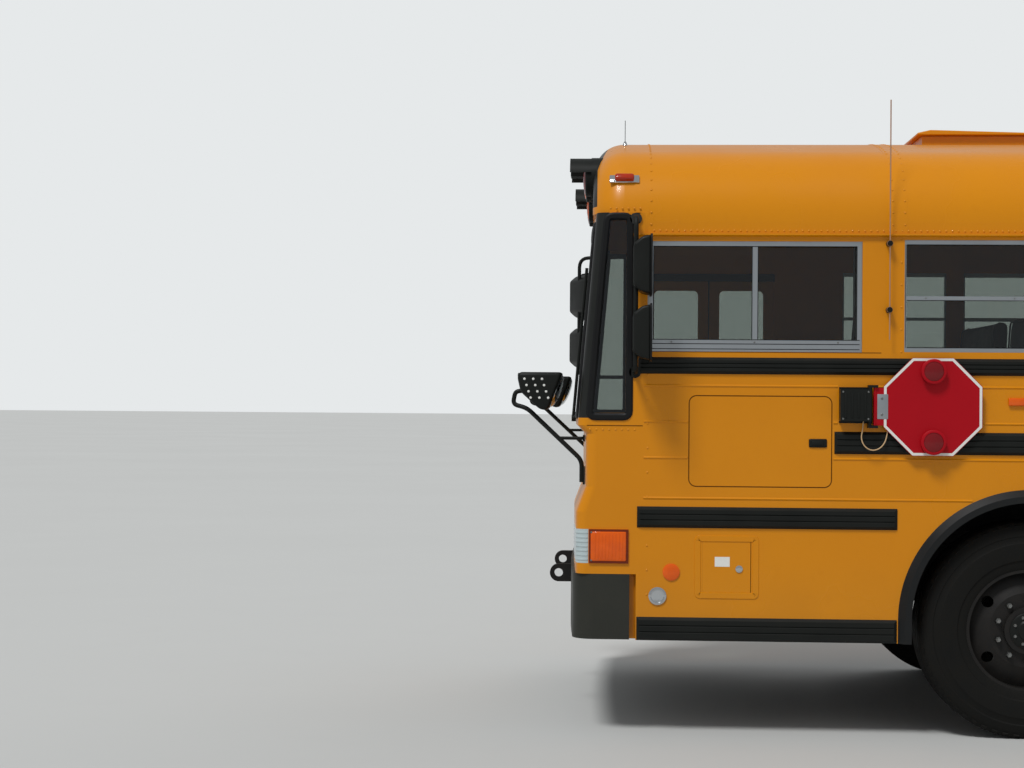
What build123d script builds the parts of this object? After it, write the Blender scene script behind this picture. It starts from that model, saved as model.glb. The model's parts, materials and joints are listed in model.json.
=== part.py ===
from build123d import *
import os
from math import atan2, cos, radians, sin, sqrt, tan, pi

# Flat-nosed school bus with its engine at the rear, full size, in millimetres.
# X points forward and is measured from the front axle, Y points to the driver's left,
# and Z is the height over the ground. The finished pieces are moved by SHIFT_X, so that
# the origin lies under the middle of the bus.

# Clearances
SEAT_CLEARANCE = 0.3
DOOR_GAP = 6.0

# Body: widths and stations
HALF_WIDTH = 1219.0
WALL = 45.0
WHEELBASE = 5990.0
REAR_OVERHANG = 2960.0
REAR_WRAP = 190.0
REAR_AXLE_X = -WHEELBASE
REAR_X = REAR_AXLE_X - REAR_OVERHANG
REAR_SEAM_X = REAR_X + REAR_WRAP
REAR_CORNER_R = 110.0
REAR_BOW = 20.0

# Body: heights, from the skirt to the crown of the roof
SKIRT_Z = 450.0
FLOOR_Z = 980.0
WINDOW_LOW_Z = 1814.0
WINDOW_HEIGHT = 525.0
CANT_STRIP = 13.0
EAVES_STRIP = 68.0
ROOF_RISE = 495.0
EAVES_R = 380.0
WINDOW_HIGH_Z = WINDOW_LOW_Z + WINDOW_HEIGHT
CANT_Z = WINDOW_HIGH_Z + CANT_STRIP
EAVES_Z = CANT_Z + EAVES_STRIP
CROWN_Z = EAVES_Z + ROOF_RISE

# Front end
MASK_X = 1807.0
CAP_X = 1794.0
CORNER_X = 2120.0
FRAME_TOP_X = 2035.0
CAP_FRONT_X = 2055.0
CAP_EDGE_R = 150.0
CAP_SKIRT = 113.0
BOW = 25.0
CORNER_R = 50.0
FRAME_LOW_Z = 1460.0
CAP_LOW_Z = CANT_Z + CAP_SKIRT
SKIRT_FRONT_X = 1840.0
BUMPER_Z = (SKIRT_Z + 2.0, 760.0)
MASK_ZONES = (
    # low z, high z, corner station at low z, corner station at high z
    (BUMPER_Z[1], 1050.0, 2125.0, 2125.0),
    (1050.0, 1170.0, 2125.0, 2080.0),
    (1170.0, 1420.0, 2080.0, 2080.0),
    (1420.0, FRAME_LOW_Z, 2080.0, CORNER_X),
)
WINDSHIELD_Y = (35.0, HALF_WIDTH - 114.0)
WINDSHIELD_Z = (FRAME_LOW_Z + 45.0, CAP_LOW_Z - 50.0)
WINDSHIELD_CORNER = 30.0
QUARTER_REAR_X = 1876.0
QUARTER_Z = (FRAME_LOW_Z + 40.0, CAP_LOW_Z - 17.0)
QUARTER_FRONT_GAP = 52.0
GLASS_INSET = 12.0
PANE = 5.0

# Wheels
WHEEL_R = 510.0
TYRE_WIDTH = 270.0
TYRE_SHOULDER = 22.0
TRACK_Y = 1035.0
TWIN_PITCH = 325.0
BEAD_R = 286.0
BEAD_SET = 20.0
ARCH_R = 555.0
ARCH_Z = 560.0
RIM_PLATE = 14.0
FACE_R = 175.0
HUB_R = 110.0
HUB_CAP = 15.0
FRONT_ROOT = 40.0
FRONT_DISH = 95.0
FRONT_HUB = (0.0, 120.0)
REAR_ROOT = -90.0
REAR_HUB = (-260.0, 30.0)
HAND_HOLE_COUNT = 5
HAND_HOLE_R = 27.0
HAND_RING_R = 222.0

# Side windows
WINDOW_LENGTH = 610.0
WINDOW_PITCH = 711.0
WINDOW_FRONT_X = 593.0
WINDOW_COUNT = int((WINDOW_FRONT_X - REAR_SEAM_X) // WINDOW_PITCH)
AHEAD_OF_EMERGENCY_COUNT = 5
SASH_Z = WINDOW_LOW_Z + 253.0
FRAME_FACE = 22.0
FRAME_STILE = 9.0
FRAME_DEPTH = 30.0
SASH_BAR = 18.0
SASH_STEP = 8.0
DRIVER_WINDOW_X = (789.0, 1793.0)
DRIVER_WINDOW_Z = (WINDOW_LOW_Z - 3.0, WINDOW_HIGH_Z - 8.0)
DRIVER_MULLION_X = (1275.0, 1303.0)
DRIVER_SILL = 58.0
DRIVER_STILE = 26.0

# Doors and lids: (low, high) along X, then (low, high) along Z
ENTRANCE_X = (1000.0, 1770.0)
ENTRANCE_Z = (330.0, WINDOW_HIGH_Z - 29.0)
EMERGENCY_Z = (FLOOR_Z + 10.0, WINDOW_HIGH_Z - 4.0)
EMERGENCY_MARGIN = 25.0
EMERGENCY_GLASS_Z = (WINDOW_LOW_Z, WINDOW_HIGH_Z - 49.0)
EMERGENCY_STILE = 70.0
ACCESS_X = (926.0, 1596.0)
ACCESS_Z = (1175.0, 1605.0)
ACCESS_CORNER = 35.0
SERVICE_X = (1300.0, 1528.0)
SERVICE_Z = (676.0, 922.0)
DOOR_LEAF = 40.0
DOOR_CORNER = 30.0
LEAF_STILE = 60.0
LEAF_GLASS_Z = ((520.0, 1180.0), (1300.0, ENTRANCE_Z[1] - 80.0))
LID_PLATE = 20.0

# Rear wall
ENGINE_DOOR_Y = 640.0
ENGINE_DOOR_Z = (790.0, 1430.0)
LOUVRE_COUNT = 7
LOUVRE_PITCH = 62.0
LOUVRE_HALF_Y = 480.0
LOUVRE_OPEN = 24.0
LOUVRE_RISE = 20.0
REAR_WINDOW_Y = 560.0
REAR_WINDOW_Z = (WINDOW_LOW_Z - 174.0, WINDOW_HIGH_Z - 99.0)
REAR_WINDOW_CORNER = 30.0

# Lamps
LAMP_Z = (810.0, 970.0)
LAMP_REAR_X = 2065.0
LAMP_IN_Y = HALF_WIDTH - 579.0
LENS_DEPTH = 12.0
TURN_X = (1876.0, 2062.0)
TURN_OUT = 6.0
TAIL_LAMP_Y = HALF_WIDTH - 319.0
TAIL_LAMPS = (
    # height, radius
    (1250.0, 90.0),
    (1500.0, 90.0),
    (1020.0, 60.0),
)
WARNING_Y = (HALF_WIDTH - 389.0, HALF_WIDTH - 659.0)
WARNING_Z = EAVES_Z + 220.0
WARNING_R = 88.0
WARNING_SINK = 30.0
HOOD_OUT = 170.0
HOOD_PLATE = 6.0
HOOD_BASE = 35.0
HOOD_CUT = 60.0
HOOD_CUT_LOW = 20.0

# Trim on the skin
RAIL_FRONT_X = 1836.0
RIGHT_FRONT_X = ENTRANCE_X[0] - 20.0
RUB_RAILS = (
    # low z, height, front station on the left
    (WINDOW_LOW_Z - 109.0, 79.0, RAIL_FRONT_X),
    (1334.0, 105.0, 915.0),
    (FLOOR_Z, 100.0, RAIL_FRONT_X),
    (SKIRT_Z, 110.0, RAIL_FRONT_X),
)
RAIL_OUT = 14.0
RAIL_BEVEL = 10.0
RAIL_GROOVE = 4.0
RAIL_RIB_COUNT = 3
RAIL_END = 16.0
BEAD_Z = (1120.0, 1310.0, 1480.0, 1650.0)
BEAD_OUT = 3.5
BEAD_HALF = 6.0
FLARE_OUT = 30.0
FLARE_WIDTH = 60.0
DRIP_OUT = 16.0
DRIP_HALF = 7.0
DRIP_FRONT_X = 1860.0

# Roof hatches
HATCHES = (
    # name, middle station
    ("roof_hatch_front", 70.0),
    ("roof_hatch_rear", REAR_AXLE_X + 390.0),
)
HATCH_HALF = 300.0
HATCH_CURB = 30.0
HATCH_CURB_Z = CROWN_Z + 35.0
HATCH_TOP_Z = HATCH_CURB_Z + 40.0
HATCH_LIP = 12.0
HATCH_NOSE = 75.0

# Floor, steps, wheelhouses and engine deck
FLOOR_PLATE = 45.0
FLOOR_FRONT_X = 2000.0
WHEELHOUSE_HALF = 640.0
WHEELHOUSE_TOP = 1130.0
TYRE_ROOM = 35.0
WHEELHOUSE_IN = TRACK_Y - TWIN_PITCH - TYRE_WIDTH / 2 - TYRE_ROOM
HOUSE_WALL = 20.0
STEP_COUNT = 3
STEP_LOW_Z = 365.0
STEP_RISE = (FLOOR_Z - STEP_LOW_Z) / STEP_COUNT
STEP_RUN = 210.0
STEP_OUT_Y = HALF_WIDTH - 239.0
STEP_PLATE = 25.0
WELL_IN_Y = STEP_OUT_Y - STEP_RUN * (STEP_COUNT - 1)
DECK_X = REAR_X + 1300.0
DECK_Z = FLOOR_Z + 420.0

# Bumpers
BUMPER_FRONT_X = 2140.0
BUMPER_BACK_X = 1870.0
BUMPER_R = 100.0
BUMPER_PLATE = 12.0
BUMPER_FLANGE = 90.0
REAR_BUMPER_X = REAR_X - 125.0
REAR_BUMPER_BACK_X = REAR_X - REAR_BOW
REAR_BUMPER_Z = (SKIRT_Z + 20.0, 740.0)

# Chassis
RAIL_Y = 430.0
RAIL_Z = (FLOOR_Z - 370.0, FLOOR_Z - 120.0)
RAIL_FLANGE = 75.0
RAIL_PLATE = 10.0
RAIL_X = (REAR_X + 110.0, 2040.0)
CROSS_HALF = 40.0
CROSS_FRONT_X = 1900.0
CROSS_BESIDE_AXLE = 900.0
CROSS_PITCH = 1100.0
CROSS_MARGIN = 40.0
SILL_PITCH = 711.0
SILL_FRONT_X = 1500.0
SILL_COUNT = int((SILL_FRONT_X - REAR_AXLE_X) // SILL_PITCH) + 3
SILL_OUT = 90.0
TOW_EYE_R = 22.0
TOW_EYE_Z = RAIL_Z[0] + 80.0
TOW_HALF = 45.0
TOW_PLATE = 30.0
TOW_SLOT_GAP = 5.0
TOW_FRONT_X = 2270.0
TOW_REAR_X = REAR_X - 250.0
ENGINE_X = (REAR_X + 250.0, REAR_X + 1250.0)
ENGINE_HALF_Y = RAIL_Y - RAIL_FLANGE - SEAT_CLEARANCE
ENGINE_Z = (520.0, DECK_Z - 60.0)
TANK_X = (-2500.0, -1150.0)
TANK_Y = (89.0 - HALF_WIDTH, -560.0)
TANK_Z = (RAIL_Z[1] - 430.0, RAIL_Z[1])
TANK_R = 60.0
TANK_HANGERS = (0.25, 0.75)
PIPE_R = 55.0
MUFFLER_R = 140.0
MUFFLER_X = (REAR_X + 600.0, REAR_X + 1300.0)
MUFFLER_Z = RAIL_Z[0] + 30.0
PIPE_Y = 680.0
PIPE_Z = 385.0
PIPE_END_X = REAR_X - 130.0
PIPE_DROP = 350.0
HANGER_X = (REAR_X + 850.0, REAR_X + 1050.0)
HANGER_LIFT = (30.0, 70.0)

# Axles and springs
KINGPIN_Y = 860.0
BEAM_Z = (395.0, 480.0)
BEAM_HALF_X = 50.0
BEAM_DROP_Y = 620.0
EYE_R = 55.0
EYE_Z = (440.0, 560.0)
PIN_R = 22.0
YOKE_PLATE = 35.0
YOKE_GAP = 6.0
SPINDLE_R = 38.0
SPINDLE_END_Y = TRACK_Y + 100.0
HUB_GAP = 0.3
ARM_LENGTH = 190.0
ARM_HALF = 28.0
TIE_R = 16.0
CARRIER_Y = (935.0, 965.0)
CARRIER_R = 200.0
SPRING_HALF = 700.0
SPRING_Y = 470.0
SPRING_WIDTH = 80.0
SPRING_SAG = 25.0
SPRING_SEAT = 90.0
SPRING_EYE = 30.0
LEAF = 14.0
AXLE_TUBE_R = 65.0
REAR_STUB_Y = 1040.0
REAR_CARRIER_Y = (520.0, 545.0)
REAR_DRUM_R = 205.0
DIFF_PROFILE = (
    # offset behind or ahead of the axle, radius there
    (-170.0, 70.0),
    (-80.0, 190.0),
    (70.0, 190.0),
    (120.0, 110.0),
    (190.0, 100.0),
)

# Stop arm
SIGN_MIDDLE_Z = 1558.0
SIGN_ACROSS = 457.0
SIGN_REAR_X = 236.0
SIGN_Y = (HALF_WIDTH + 31.0, HALF_WIDTH + 37.0)
HINGE_X = 733.0
HINGE_R = 7.0
BRACKET_HALF_Z = 88.0
EAR_PLATE = 12.0
SIGN_LAMP_R = 58.0
SIGN_LAMP_OUT = 25.0
SIGN_LAMP_LIFT = 165.0
BOX_X = (741.0, 895.0)
BOX_Z = (SIGN_MIDDLE_Z - 79.0, SIGN_MIDDLE_Z + 90.0)
BOX_MARGIN = 10.0
BOX_LOW_Z = BOX_Z[0] + BOX_MARGIN
BOX_OUT = 60.0
BOX_PLATE = 5.0

# Mirrors
TUBE_R = 11.0
CROSS_FOOT_Y = HALF_WIDTH - 139.0
CROSS_FOOT_HALF = 22.0
CROSS_FOOT_Z = (1174.0, 1262.0)
CROSS_PLATE = 10.0
CROSS_KNEE_Z = 1290.0
CROSS_ROUTE = (
    # station, distance from the middle, height of each bend above the knee, then the end
    (2366.0, HALF_WIDTH - 179.0, 1538.0),
    (2436.0, HALF_WIDTH - 199.0, 1556.0),
    (2424.0, HALF_WIDTH - 199.0, 1618.0),
    (2375.0, HALF_WIDTH - 199.0, 1622.0),
)
CROSS_BENDS = (40.0, 40.0, 25.0, 20.0)
CROSS_HOUSING = (
    # station and height round the side view of the housing
    (2193.0, 1711.0),
    (2262.0, 1530.0),
    (2300.0, 1530.0),
    (2395.0, 1615.0),
    (2412.0, 1690.0),
    (2405.0, 1711.0),
)
CROSS_HOUSING_Y = (HALF_WIDTH - 330.0, HALF_WIDTH - 100.0)
CROSS_STRUT_Z = 1395.0
CROSS_STRUT_R = 8.0
NOSE_TIP_X = 2448.0
REAR_VIEW_FOOT_X = 1850.0
REAR_VIEWS = (
    # side, station of the mirrors
    (1, REAR_VIEW_FOOT_X),
    (-1, REAR_VIEW_FOOT_X + 310.0),
)
REAR_VIEW_STUB = 40.0
REAR_VIEW_Y = (HALF_WIDTH + 36.0, HALF_WIDTH + 281.0)
REAR_VIEW_Z = (
    (CAP_LOW_Z - 395.0, CAP_LOW_Z - 125.0),
    (FRAME_LOW_Z + 305.0, FRAME_LOW_Z + 560.0),
)
REAR_VIEW_FEET_Z = (FRAME_LOW_Z + 252.0, CAP_LOW_Z - 29.0)
REAR_VIEW_BACK = 69.0
REAR_VIEW_FRONT = 14.0
REAR_VIEW_SLOPE = (
    # share of the depth from the glass, how far the outline has come in there
    (0.5, 8.0),
    (1.0, 42.0),
)
REAR_VIEW_BEND = 60.0

# Seats and dash board
SEAT_FRONT_X = -150.0
SEAT_COUNT = int((SEAT_FRONT_X - DECK_X) // WINDOW_PITCH) + 1
AISLE_HALF = 190.0
SEAT_GAP = 2.0
CUSHION_Z = FLOOR_Z + 430.0
CUSHION_DEPTH = 420.0
CUSHION_THICK = 110.0
BACK_Z = FLOOR_Z + 1030.0
BACK_THICK = 80.0
BACK_RAKE = 40.0
LEG = 30.0
LEG_IN = 60.0
LEG_STATIONS = (30.0, 330.0)
DRIVER_SEAT_X = (700.0, 1180.0)
DRIVER_SEAT_Y = (380.0, 880.0)
DRIVER_CUSHION_Z = (FLOOR_Z + 400.0, FLOOR_Z + 500.0)
DRIVER_BACK_TOP_Z = FLOOR_Z + 1150.0
DRIVER_BACK_THICK = 90.0
DRIVER_BACK_RAKE = 70.0
PEDESTAL_IN = 80.0
DASH_X = (1720.0, CORNER_X - 110.0)
DASH_Y = (40.0 - WELL_IN_Y, HALF_WIDTH - 119.0)
DASH_TOP_Z = FRAME_LOW_Z - 20.0
COLUMN_Y = 630.0
COLUMN_FOOT = (DASH_X[0], COLUMN_Y, 1300.0)
COLUMN_HEAD = (1420.0, COLUMN_Y, 1600.0)
COLUMN_R = 30.0
STEERING_R = 225.0
STEERING_RIM = 24.0
SPOKE = 40.0

# Wipers, antenna and cable
WIPER_Y = 500.0
WIPER_Z = (FRAME_LOW_Z + 24.0, WINDSHIELD_Z[1] - 165.0)
WIPER_OFF = 16.0
WIPER_GAP = 1.5
WIPER_R = 8.0
ANTENNA_X = 667.0
ANTENNA_OUT = 40.0
ANTENNA_R = 3.0
ANTENNA_Z = (CANT_Z - 482.0, CROWN_Z + 75.0)
STAND_OFF_Z = (CANT_Z - 342.0, CANT_Z - 32.0)
STAND_OFF_R = 14.0
CABLE_R = 3.0
CABLE_POINTS = (
    (785.0, 1249.0, BOX_LOW_Z),
    (787.0, 1249.0, 1452.0),
    (796.0, 1250.0, 1412.0),
    (783.0, 1251.0, 1374.0),
    (750.0, 1252.0, 1352.0),
    (713.0, 1252.0, 1358.0),
    (686.0, 1250.0, 1386.0),
    (674.0, 1244.0, 1424.0),
    (670.0, 1236.0, 1456.0),
    (670.0, HALF_WIDTH, 1456.0),
)

# The middle of the whole bus, from the tip of the crossview tubes to the rear tow eyes
SHIFT_X = -(TOW_REAR_X + NOSE_TIP_X) / 2


# Basic shapes
def box(x, y, z):
    """A box from its (low, high) pair along each axis, in either order."""
    corner = (min(x), min(y), min(z))
    return Solid.make_box(abs(x[1] - x[0]), abs(y[1] - y[0]), abs(z[1] - z[0]), Plane(corner))


def side_prism(outline, y):
    """An (x, z) outline carried across the bus between two y."""
    wire = Wire.make_polygon([(px, y[0], pz) for px, pz in outline])
    return Solid.extrude(Face(wire), Vector(0, y[1] - y[0], 0))


def end_prism(outline, x):
    """A (y, z) outline carried along the bus between two x."""
    wire = Wire.make_polygon([(x[0], py, pz) for py, pz in outline])
    return Solid.extrude(Face(wire), Vector(x[1] - x[0], 0, 0))


def side_panel(x, z, y, radius):
    """A rounded panel that stands in the side plane, between two y."""
    middle = Plane(origin=((x[0] + x[1]) / 2, y[0], (z[0] + z[1]) / 2), x_dir=(1, 0, 0), z_dir=(0, 1, 0))
    return extrude(middle * RectangleRounded(abs(x[1] - x[0]), abs(z[1] - z[0]), radius), y[1] - y[0])


def end_panel(y, z, x, radius):
    """A rounded panel that stands across the bus, between two x."""
    middle = Plane(origin=(x[0], (y[0] + y[1]) / 2, (z[0] + z[1]) / 2), x_dir=(0, 1, 0), z_dir=(1, 0, 0))
    return extrude(middle * RectangleRounded(abs(y[1] - y[0]), abs(z[1] - z[0]), radius), x[1] - x[0])


def rod(start, end, radius):
    """A round bar between two points."""
    run = Vector(*end) - Vector(*start)
    return Solid.make_cylinder(radius, run.length, Plane(origin=start, z_dir=run))


def bent_tube(points, bends, radius):
    """A round tube along straight runs joined by arcs, one bend radius for each inner point."""
    path = FilletPolyline(*points, radius=bends)
    return sweep(Plane(origin=path @ 0, z_dir=path % 0) * Circle(radius), path=path)


def turned(profile, x, middle_y):
    """A (radius, offset) profile turned about a wheel's axis; the offset runs along Y."""
    wire = Wire.make_polygon([(x + r, middle_y + offset, WHEEL_R) for r, offset in profile])
    axis = Axis((x, middle_y, WHEEL_R), (0, 1, 0))
    return Solid.revolve(Face(wire), 360.0, axis)


def grown(pair, margin):
    """A (low, high) pair made longer by the margin at both ends."""
    return (pair[0] - margin, pair[1] + margin)


def split(stretch, gaps):
    """What a (low, high) stretch keeps once the gaps, each with a door's gap beside it, are taken out."""
    pieces = [stretch]
    for gap in gaps:
        kept = []
        for low, high in pieces:
            if gap[0] > low and gap[1] < high:
                kept += [(low, gap[0] - DOOR_GAP), (gap[1] + DOOR_GAP, high)]
            else:
                kept.append((low, high))
        pieces = kept
    return pieces


def solids_of(*shapes):
    """All the solids of the shapes, in one list."""
    return [solid for shape in shapes for solid in shape.solids()]


def write(name, *shapes):
    """Moves the shapes to the bus's own origin and writes them as one STEP file."""
    moved = Compound(solids_of(*shapes)).moved(Location((SHIFT_X, 0, 0)))
    export_step(moved, f"parts/{name}.step")


# Sections of the shell
def roof_section(inset, x):
    """The closed cross-section of the body at station x, drawn inside its skin by the inset."""
    half = HALF_WIDTH - inset
    side_r = EAVES_R - inset
    reach = HALF_WIDTH - EAVES_R
    rise = CROWN_Z - EAVES_Z
    crown_r = (reach**2 + rise**2 - EAVES_R**2) / (2 * (rise - EAVES_R))
    centre_z = CROWN_Z - crown_r
    lean = atan2(reach, EAVES_Z - centre_z)
    knee = ((crown_r - inset) * sin(lean), centre_z + (crown_r - inset) * cos(lean))
    turn = (pi / 2 - lean) / 2
    elbow = (reach + side_r * cos(turn), EAVES_Z + side_r * sin(turn))
    top = (0.0, CROWN_Z - inset)
    edges = [
        Edge.make_line((x, -half, SKIRT_Z), (x, half, SKIRT_Z)),
        Edge.make_line((x, half, SKIRT_Z), (x, half, EAVES_Z)),
        Edge.make_three_point_arc((x, half, EAVES_Z), (x, *elbow), (x, *knee)),
        Edge.make_three_point_arc((x, *knee), (x, *top), (x, -knee[0], knee[1])),
        Edge.make_three_point_arc((x, -knee[0], knee[1]), (x, -elbow[0], elbow[1]), (x, -half, EAVES_Z)),
        Edge.make_line((x, -half, EAVES_Z), (x, -half, SKIRT_Z)),
    ]
    return Face(Wire(edges))


def roof_length(inset, x):
    """The body's cross-section carried between two stations."""
    return Solid.extrude(roof_section(inset, x[0]), Vector(x[1] - x[0], 0, 0))


def nose_outline(back_x, corner_x, bow, corner_r, inset, z):
    """The bowed plan outline of an end wall; the corner lies ahead of back_x or behind it."""
    way = 1 if corner_x > back_x else -1
    half = HALF_WIDTH - inset
    radius = corner_r - inset if corner_r > inset else 1.0
    face_x = corner_x - way * inset
    start_x = face_x - way * radius
    lag = radius * (1 - sqrt(0.5))
    corner = (face_x - way * lag, half - lag, z)
    edges = [
        Edge.make_line((back_x, -half, z), (back_x, half, z)),
        Edge.make_line((back_x, half, z), (start_x, half, z)),
        Edge.make_three_point_arc((start_x, half, z), corner, (face_x, half - radius, z)),
        Edge.make_three_point_arc(
            (face_x, half - radius, z), (face_x + way * bow, 0, z), (face_x, radius - half, z)
        ),
        Edge.make_three_point_arc(
            (face_x, radius - half, z), (corner[0], -corner[1], z), (start_x, -half, z)
        ),
        Edge.make_line((start_x, -half, z), (back_x, -half, z)),
    ]
    return Wire(edges)


def nose_block(back_x, zone, bow, corner_r, inset):
    """A solid block between the two outlines of one zone: low z, high z, low corner, high corner."""
    low_z, high_z, low_x, high_x = zone
    if low_x == high_x:
        face = Face(nose_outline(back_x, low_x, bow, corner_r, inset, low_z))
        return Solid.extrude(face, Vector(0, 0, high_z - low_z))
    wires = [
        nose_outline(back_x, low_x, bow, corner_r, inset, low_z),
        nose_outline(back_x, high_x, bow, corner_r, inset, high_z),
    ]
    return Solid.make_loft(wires, True)


def nose_shell(back_x, zone, bow, corner_r, thickness):
    """One zone of an end wall as a shell that is open towards the bus."""
    outer = nose_block(back_x, zone, bow, corner_r, 0.0)
    inner = nose_block(back_x, zone, bow, corner_r, thickness)
    return outer - inner


def front_face_x(zone, y, z):
    """The station of the bowed front at height z of a zone, y away from the middle."""
    low_z, high_z, low_x, high_x = zone
    corner = low_x + (high_x - low_x) * (z - low_z) / (high_z - low_z)
    return corner + BOW * (1 - (y / (HALF_WIDTH - CORNER_R)) ** 2)


# Side walls
def window_stations():
    """The (rear, front) station pair of each passenger window, front to rear."""
    fronts = [WINDOW_FRONT_X - WINDOW_PITCH * bay for bay in range(WINDOW_COUNT)]
    return [(front - WINDOW_LENGTH, front) for front in fronts]


def emergency_x():
    """The (rear, front) stations of the emergency door, which takes one window bay."""
    rear, front = window_stations()[AHEAD_OF_EMERGENCY_COUNT]
    return (rear - EMERGENCY_MARGIN, front + EMERGENCY_MARGIN)


def left_windows():
    """The windows of the left side: the bay of the emergency door has none of its own."""
    return [bay for index, bay in enumerate(window_stations()) if index != AHEAD_OF_EMERGENCY_COUNT]


def arch_cut(axle_x):
    """The space of one wheel arch, right through both walls."""
    span = (-HALF_WIDTH - WALL, HALF_WIDTH + WALL)
    round_part = rod((axle_x, span[0], ARCH_Z), (axle_x, span[1], ARCH_Z), ARCH_R)
    straight = box((axle_x - ARCH_R, axle_x + ARCH_R), span, (SKIRT_Z - WALL, ARCH_Z))
    return [round_part, straight]


def bead_gaps(side, z):
    """The stretches of one side that a bead at height z leaves free."""
    gaps = []
    reach = ARCH_R + FLARE_WIDTH
    lift = z - BEAD_HALF - ARCH_Z
    if lift < reach:
        half = sqrt(reach**2 - lift**2)
        gaps += [grown((axle_x, axle_x), half) for axle_x in (0.0, REAR_AXLE_X)]
    if side > 0:
        gaps.append(emergency_x())
        for opening_x, opening_z in ((ACCESS_X, ACCESS_Z), (BOX_X, BOX_Z)):
            if opening_z[0] - BEAD_HALF < z < opening_z[1] + BEAD_HALF:
                gaps.append(opening_x)
    return gaps


def wall_beads(side):
    """The pressed beads that stiffen one side, as shallow strips on its skin."""
    strips = []
    skin = side * HALF_WIDTH
    out = side * (HALF_WIDTH + BEAD_OUT)
    front_x = MASK_X if side > 0 else RIGHT_FRONT_X
    for z in BEAD_Z:
        outline = [(skin, z - BEAD_HALF), (out, z - BEAD_OUT / 2)]
        outline += [(out, z + BEAD_OUT / 2), (skin, z + BEAD_HALF)]
        for stretch in split((REAR_SEAM_X, front_x), bead_gaps(side, z)):
            strips.append(end_prism(outline, stretch))
    return strips


def side_wall(side):
    """One side wall with its beads and openings; side is 1 on the left and -1 on the right."""
    inner = side * (HALF_WIDTH - WALL)
    outer = side * HALF_WIDTH
    cut_y = (inner - side * WALL, outer + side * WALL)
    wall = box((REAR_SEAM_X, MASK_X), (inner, outer), (SKIRT_Z, CANT_Z))
    for strip in wall_beads(side):
        wall = wall + strip
    bays = left_windows() if side > 0 else window_stations()
    cuts = [box(bay, cut_y, (WINDOW_LOW_Z, WINDOW_HIGH_Z)) for bay in bays]
    cuts += arch_cut(0.0) + arch_cut(REAR_AXLE_X)
    if side > 0:
        cuts.append(box(DRIVER_WINDOW_X, cut_y, DRIVER_WINDOW_Z))
        cuts.append(box(emergency_x(), cut_y, EMERGENCY_Z))
        cuts.append(side_panel(ACCESS_X, ACCESS_Z, cut_y, ACCESS_CORNER))
        cuts.append(box(SERVICE_X, cut_y, SERVICE_Z))
    else:
        cuts.append(box(ENTRANCE_X, cut_y, (SKIRT_Z - WALL, ENTRANCE_Z[1])))
    for cut in cuts:
        wall = wall - cut
    return wall


def window_frame(x, z, side, holes):
    """An aluminium frame with its bars, seated in a window of the side wall."""
    middle = side * (HALF_WIDTH - WALL / 2)
    y = (middle - FRAME_DEPTH / 2, middle + FRAME_DEPTH / 2)
    frame = box(grown(x, -SEAT_CLEARANCE), y, grown(z, -SEAT_CLEARANCE))
    for hole_x, hole_z in holes:
        frame = frame - box(hole_x, grown(y, WALL), hole_z)
    return frame


def passenger_holes(x):
    """The two openings of a split window: the lower sash, then the upper one."""
    hole_x = grown(x, -FRAME_STILE)
    half_bar = SASH_BAR / 2
    return [
        (hole_x, (WINDOW_LOW_Z + FRAME_FACE, SASH_Z - half_bar)),
        (hole_x, (SASH_Z + half_bar, WINDOW_HIGH_Z - FRAME_FACE)),
    ]


def driver_holes():
    """The two openings of the driver's sliding window: the rear sash, then the front one."""
    hole_z = (DRIVER_WINDOW_Z[0] + DRIVER_SILL, DRIVER_WINDOW_Z[1] - FRAME_FACE)
    return [
        ((DRIVER_WINDOW_X[0] + DRIVER_STILE, DRIVER_MULLION_X[0]), hole_z),
        ((DRIVER_MULLION_X[1], DRIVER_WINDOW_X[1] - DRIVER_STILE), hole_z),
    ]


def sash_panes(holes, side):
    """The panes of a window with two sashes, the first one inboard of the second."""
    panes = []
    for step, (hole_x, hole_z) in zip((-SASH_STEP, SASH_STEP), holes):
        middle = side * (HALF_WIDTH - WALL / 2 + step)
        y = (middle - PANE / 2, middle + PANE / 2)
        panes.append(box(grown(hole_x, -SEAT_CLEARANCE), y, grown(hole_z, -SEAT_CLEARANCE)))
    return panes


# Front end
def frame_zone():
    """The raked zone of the windshield frame."""
    return (FRAME_LOW_Z, CAP_LOW_Z, CORNER_X, FRAME_TOP_X)


def frame_front_x(z):
    """The station of the raked corner at height z."""
    share = (z - FRAME_LOW_Z) / (CAP_LOW_Z - FRAME_LOW_Z)
    return CORNER_X + share * (FRAME_TOP_X - CORNER_X)


def quarter_outline(inset):
    """The (x, z) outline of the quarter window, drawn inside its opening by the inset."""
    low, high = grown(QUARTER_Z, -inset)
    rear = QUARTER_REAR_X + inset
    return [
        (rear, low),
        (frame_front_x(low) - QUARTER_FRONT_GAP - inset, low),
        (frame_front_x(high) - QUARTER_FRONT_GAP - inset, high),
        (rear, high),
    ]


def windshield_openings(inset):
    """The four openings of the front frame: two windshields and two quarter windows."""
    openings = []
    for side in (1, -1):
        y = (side * (WINDSHIELD_Y[0] + inset), side * (WINDSHIELD_Y[1] - inset))
        z = grown(WINDSHIELD_Z, -inset)
        x = (frame_front_x(z[1]) - 2 * WALL, CORNER_X + 2 * WALL)
        side_y = (side * (HALF_WIDTH - 2 * WALL), side * (HALF_WIDTH + WALL))
        openings += [end_panel(y, z, x, WINDSHIELD_CORNER), side_prism(quarter_outline(inset), side_y)]
    return openings


def windshield_frame():
    """The raked and bowed front frame with its four openings."""
    shell = nose_shell(MASK_X, frame_zone(), BOW, CORNER_R, WALL)
    for opening in windshield_openings(0.0):
        shell = shell - opening
    return shell


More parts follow.
